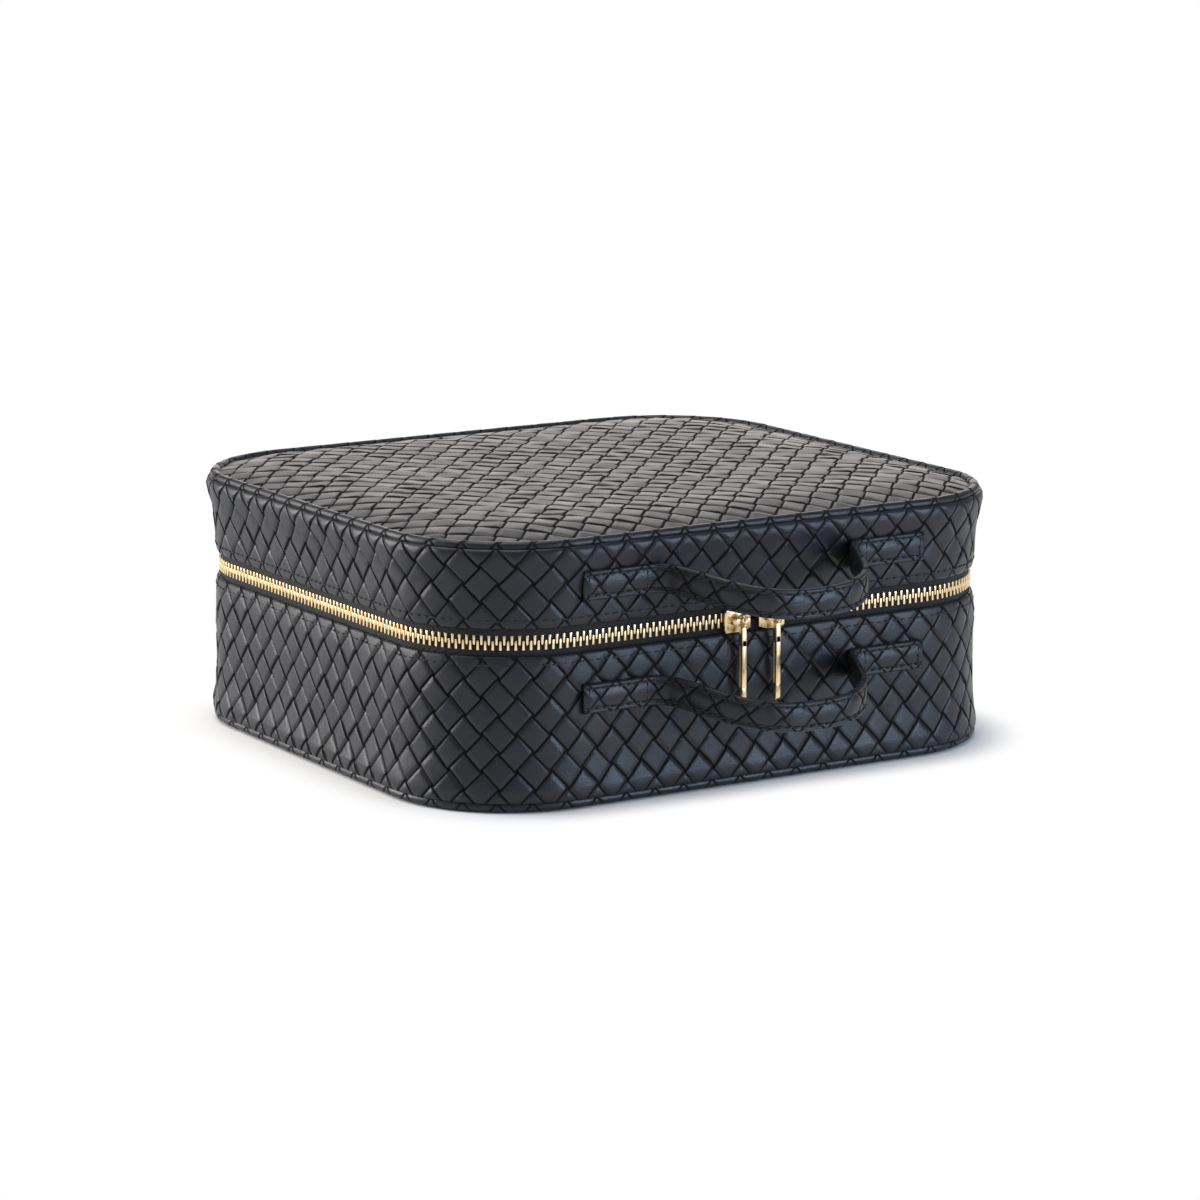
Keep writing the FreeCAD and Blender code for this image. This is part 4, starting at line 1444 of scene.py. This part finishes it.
@dataclass
class Inside:
    """The velvet lining, pads, dividers, ring rolls, mirror and its frame."""

    divider: float = 3 * MM
    divider_height: float = 30 * MM
    ring_bay: float = 60 * MM
    compartments: float = 34 * MM
    roll: float = 9 * MM
    roll_pitch: float = 18.4 * MM
    rolls: int = 6
    frame_band: float = 8.0 * MM
    frame_corner: float = 24 * MM

    @property
    def half_width(self) -> float:
        """Half of the room's width."""
        return CASE.width / 2 - CASE.room_face

    @property
    def half_depth(self) -> float:
        """Half of the room's depth."""
        return CASE.depth / 2 - CASE.room_face

    def lining(self, half: Half) -> bpy.types.Object:
        """The velvet on the inside of one half's wall, turned over its board at the zip."""
        edge = CASE.zip_height + half.value * CASE.zip_gap / 2
        if half is Half.BASE:
            low, high = CASE.floor_top - 3 * MM, edge
        else:
            low, high = edge, CASE.ceiling + 3 * MM
        inner, outer = -CASE.room_face, -CASE.lining_face
        corners = [
            (outer, low),
            (outer, high),
            (inner + 0.2 * MM, high),
            (inner, high - 0.6 * MM),
            (inner, low + 0.6 * MM),
            (inner + 0.2 * MM, low),
        ]
        section = Track(smooth_line(corners, 1, closed=True), closed=True)
        obj = grid_sheet(f"{half.name.lower()}_velvet_wall", 200, 40)
        grid = coordinates(obj)
        x, y, z = along_wall(section)(
            (grid[:, 0] + 1) / 2 * WALL.length, (grid[:, 1] + 1) / 2 * section.length, np.zeros(len(grid))
        )
        move_vertices(obj, np.c_[x, y, z])
        clean(obj)
        body = half.name.lower()
        return fit(obj, Finish.LINING, body, f"{body}_lining")

    def pad(self, half: Half) -> bpy.types.Object:
        """The pad on the floor or under the lid, with rounded edges."""
        body = half.name.lower()
        node = "base_floor_pad" if half is Half.BASE else "lid_top_pad"
        low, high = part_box(node)
        clear_selection()
        outline = case_outline(-CASE.room_face - 0.15 * MM, 10)
        bpy.ops.mesh.primitive_circle_add(vertices=len(outline), radius=1, fill_type="NGON")
        obj = bpy.context.object
        obj.name = f"{body}_velvet_pad"
        move_vertices(obj, np.c_[outline, np.full(len(outline), low[2])])
        bpy.ops.object.mode_set(mode="EDIT")
        bpy.ops.mesh.select_all(action="SELECT")
        bpy.ops.mesh.extrude_region_move(TRANSFORM_OT_translate={"value": (0, 0, high[2] - low[2])})
        bpy.ops.object.mode_set(mode="OBJECT")
        clean(obj)
        bevel = obj.modifiers.new("edges", "BEVEL")
        bevel.width, bevel.segments, bevel.limit_method = 1.2 * MM, 3, "ANGLE"
        bevel.angle_limit = math.radians(50)
        apply_modifiers(obj)
        clean(obj, angle=60)
        return fit(obj, Finish.LINING, body, node)

    def wall_between(self, name: str, boxes: Sequence[tuple[float, float, float, float]]) -> bpy.types.Object:
        """Velvet-covered dividers with softly rounded tops.

        Args:
            name: CAD node that they stand for.
            boxes: Lowest and highest X, then lowest and highest Y, of each.

        Returns:
            The joined dividers.
        """
        low, high = CASE.floor_top, CASE.floor_top + self.divider_height
        edge = self.divider * 0.45
        pieces = [
            rounded_box("divider", (x0, y0, low), (x1, y1, high), edge, 4) for x0, x1, y0, y1 in boxes
        ]
        return fit(join(f"{name}_velvet", pieces), Finish.LINING, "base", name)

    def ring_rolls(self) -> bpy.types.Object:
        """Soft rolls side by side, with rounded ends."""
        left, right = -self.half_width + 0.4 * MM, -self.divider / 2 - 0.4 * MM
        pieces = []
        for index in range(self.rolls):
            y = self.roll_pitch * (index - (self.rolls - 1) / 2)
            clear_selection()
            bpy.ops.mesh.primitive_cylinder_add(vertices=40, radius=self.roll, depth=right - left)
            roll = bpy.context.object
            placed(roll, Matrix.Rotation(math.pi / 2, 4, "Y"))
            placed(roll, Matrix.Translation(((left + right) / 2, y, CASE.floor_top + self.roll)))
            bevel = roll.modifiers.new("ends", "BEVEL")
            bevel.width, bevel.segments, bevel.limit_method = 1.6 * MM, 4, "ANGLE"
            bevel.angle_limit = math.radians(60)
            apply_modifiers(roll)
            pieces.append(roll)
        obj = join("velvet_ring_rolls", pieces)
        clean(obj, angle=60)
        return fit(obj, Finish.LINING, "base", "ring_rolls")

    def mirror_frame(self) -> bpy.types.Object:
        """The mirror's frame, a soft leather moulding; the mirror itself keeps its CAD shape."""
        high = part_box("mirror_frame")[1]
        band, corner = self.frame_band, self.frame_corner
        section = [
            (0.0, 0.0),
            (0.2 * MM, -2.2 * MM),
            (2.2 * MM, -3.0 * MM),
            (band - 2.2 * MM, -3.0 * MM),
            (band - 0.4 * MM, -2.3 * MM),
            (band - 0.3 * MM, 0.0),
        ]
        ring = rounded_corners(high[0] - corner, high[1] - corner, corner, 12)
        track = Track(np.array(ring), closed=True)
        profile = Track(smooth_line(section, 2, closed=True), closed=True)
        obj = grid_sheet("mirror_leather_frame", 160, 28)
        grid = coordinates(obj)
        place, normal = track.at((grid[:, 0] + 1) / 2 * track.length)
        spot, _ = profile.at((grid[:, 1] + 1) / 2 * profile.length)
        move_vertices(obj, np.c_[place - normal * spot[:, :1], CASE.ceiling + spot[:, 1]])
        clean(obj)
        return fit(obj, Finish.PLAIN, "lid", "mirror_frame")

    def build(self, frame: dict) -> None:
        """Builds and dresses everything inside.

        Args:
            frame: The loaded CAD frame.
        """
        half = self.divider / 2
        for part in Half:
            self.lining(part)
            self.pad(part)
        self.wall_between("centre_divider", [(-half, half, -self.half_depth, self.half_depth)])
        for node, left, right, middle in (
            ("ring_bay_dividers", -self.half_width, -half, self.ring_bay),
            ("compartment_dividers", half, self.half_width, self.compartments),
        ):
            self.wall_between(node, [(left, right, s * middle - half, s * middle + half) for s in (-1, 1)])
        self.ring_rolls()
        self.mirror_frame()
        dress(frame["nodes"]["mirror"], Finish.MIRROR)
        for node in ("base_floor_board", "base_wall_board", "lid_top_board", "lid_wall_board"):
            dress(frame["nodes"][node], Finish.BOARD)


@dataclass
class Studio:
    """Floor, light and the camera at the photograph's angle."""

    azimuth: float = -31.71
    elevation: float = 11.47
    distance: float = 1.584
    focal_px: float = 4203.0
    centre_x: float = 591.1
    centre_y: float = 597.9
    picture: float = 1200.0
    sensor: float = 36.0
    room_light: float = 0.32
    shadow_reach: float = 22 * MM
    aim_height: float = 40 * MM

    def floor(self) -> None:
        """A plain white floor that keeps the soft shadow close to the case."""
        clear_selection()
        bpy.ops.mesh.primitive_plane_add(size=12)
        obj = bpy.context.object
        obj.name = "studio_floor"
        material, graph, shader = new_material("studio_white")
        shader.inputs["Base Color"].default_value = (0.95, 0.95, 0.95, 1)
        shader.inputs["Roughness"].default_value = 0.9
        shader.inputs["Specular IOR Level"].default_value = 0.0
        coords = graph.node("ShaderNodeTexCoord")
        parts = graph.node("ShaderNodeSeparateXYZ", {0: coords.outputs["Object"]})
        reach = []
        for axis, side in enumerate((CASE.width, CASE.depth)):
            away = graph.math("ABSOLUTE", parts.outputs[axis])
            past = graph.math("SUBTRACT", away, side / 2 - CASE.corner)
            reach.append(graph.math("MAXIMUM", past, 0.0))
        squares = graph.math("ADD", graph.math("POWER", reach[0], 2.0), graph.math("POWER", reach[1], 2.0))
        distance = graph.math("SUBTRACT", graph.math("SQRT", squares), CASE.corner)
        fade = graph.node(
            "ShaderNodeMapRange",
            {0: distance, 1: 0.0, 2: self.shadow_reach, 3: 0.0, 4: 1.0},
            interpolation_type="SMOOTHSTEP",
        )
        path = graph.node("ShaderNodeLightPath")
        seen = graph.math("MAXIMUM", path.outputs["Is Camera Ray"], path.outputs["Is Glossy Ray"])
        seen = graph.math("MAXIMUM", seen, path.outputs["Is Transmission Ray"])
        white = graph.node("ShaderNodeEmission")
        mix = graph.node(
            "ShaderNodeMixShader",
            {0: graph.math("MULTIPLY", fade.outputs[0], seen), 1: shader.outputs[0], 2: white.outputs[0]},
        )
        output = next(node for node in material.node_tree.nodes if node.type == "OUTPUT_MATERIAL")
        material.node_tree.links.new(mix.outputs[0], output.inputs["Surface"])
        obj.data.materials.append(material)
        placed(obj, Matrix.Translation((0, 0, -0.05 * MM)))

    def lamp(self, name: str, place: Sequence[float], size: float, power: float, colour: Colour) -> None:
        """A soft square lamp that faces the case."""
        data = bpy.data.lights.new(name, "AREA")
        data.shape, data.size, data.energy, data.color = "SQUARE", size, power, colour
        lamp = bpy.data.objects.new(name, data)
        bpy.context.collection.objects.link(lamp)
        lamp.location = place
        lamp.visible_camera = False
        towards = Vector((0, 0, self.aim_height)) - Vector(place)
        lamp.rotation_euler = towards.to_track_quat("-Z", "Y").to_euler()

    def light(self) -> None:
        """A white room and four soft lamps."""
        world = bpy.data.worlds.new("studio_room")
        bpy.context.scene.world = world
        world.use_nodes = True
        graph = Graph(world.node_tree)
        path = graph.node("ShaderNodeLightPath")
        seen = graph.math("MAXIMUM", path.outputs["Is Camera Ray"], path.outputs["Is Transmission Ray"])
        strength = graph.node("ShaderNodeMapRange", {0: seen, 3: self.room_light, 4: 1.0})
        background = world.node_tree.nodes["Background"]
        background.inputs["Color"].default_value = (1, 1, 1, 1)
        world.node_tree.links.new(strength.outputs[0], background.inputs["Strength"])
        self.lamp("top_softbox", (-0.2, 0.2, 1.6), 1.3, 16, (1.0, 0.97, 0.94))
        self.lamp("back_softbox", (0.95, 1.4, 0.5), 1.3, 8.5, (1.0, 0.94, 0.88))
        self.lamp("left_softbox", (-1.3, 1.1, 0.5), 1.1, 32, (1.0, 0.985, 0.97))
        self.lamp("front_fill", (0.9, -1.6, 0.45), 1.0, 23, (0.58, 0.74, 1.0))

    def camera(self) -> None:
        """The camera at the photograph's angle."""
        turn, rise = math.radians(self.azimuth), math.radians(self.elevation)
        back = Vector((math.sin(turn) * math.cos(rise), -math.cos(turn) * math.cos(rise), math.sin(rise)))
        data = bpy.data.cameras.new("camera")
        data.sensor_width = self.sensor
        data.lens = self.focal_px / self.picture * self.sensor
        data.shift_x = (self.picture / 2 - self.centre_x) / self.picture
        data.shift_y = (self.centre_y - self.picture / 2) / self.picture
        data.clip_start = 0.01
        camera = bpy.data.objects.new("camera", data)
        bpy.context.collection.objects.link(camera)
        camera.location = Vector((0, 0, CASE.height / 2)) + back * self.distance
        camera.rotation_euler = (-back).to_track_quat("-Z", "Y").to_euler()
        bpy.context.scene.camera = camera

    def build(self) -> None:
        """Builds floor, light and camera."""
        self.floor()
        self.light()
        self.camera()
        bpy.context.scene.view_settings.view_transform = "Standard"


def main() -> None:
    """Loads the frame and builds the case's looks piece by piece."""
    logging.basicConfig(level=logging.INFO, format="%(message)s")
    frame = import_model()
    for half in Half:
        Shell(half).build()
    Handle(Half.LID, CASE.zip_height + 19 * MM).build()
    Handle(Half.BASE, CASE.zip_height - 21 * MM).build()
    Zip().build()
    Hinge().build()
    Inside().build(frame)
    Studio().build()


if __name__ == "__main__":
    main()
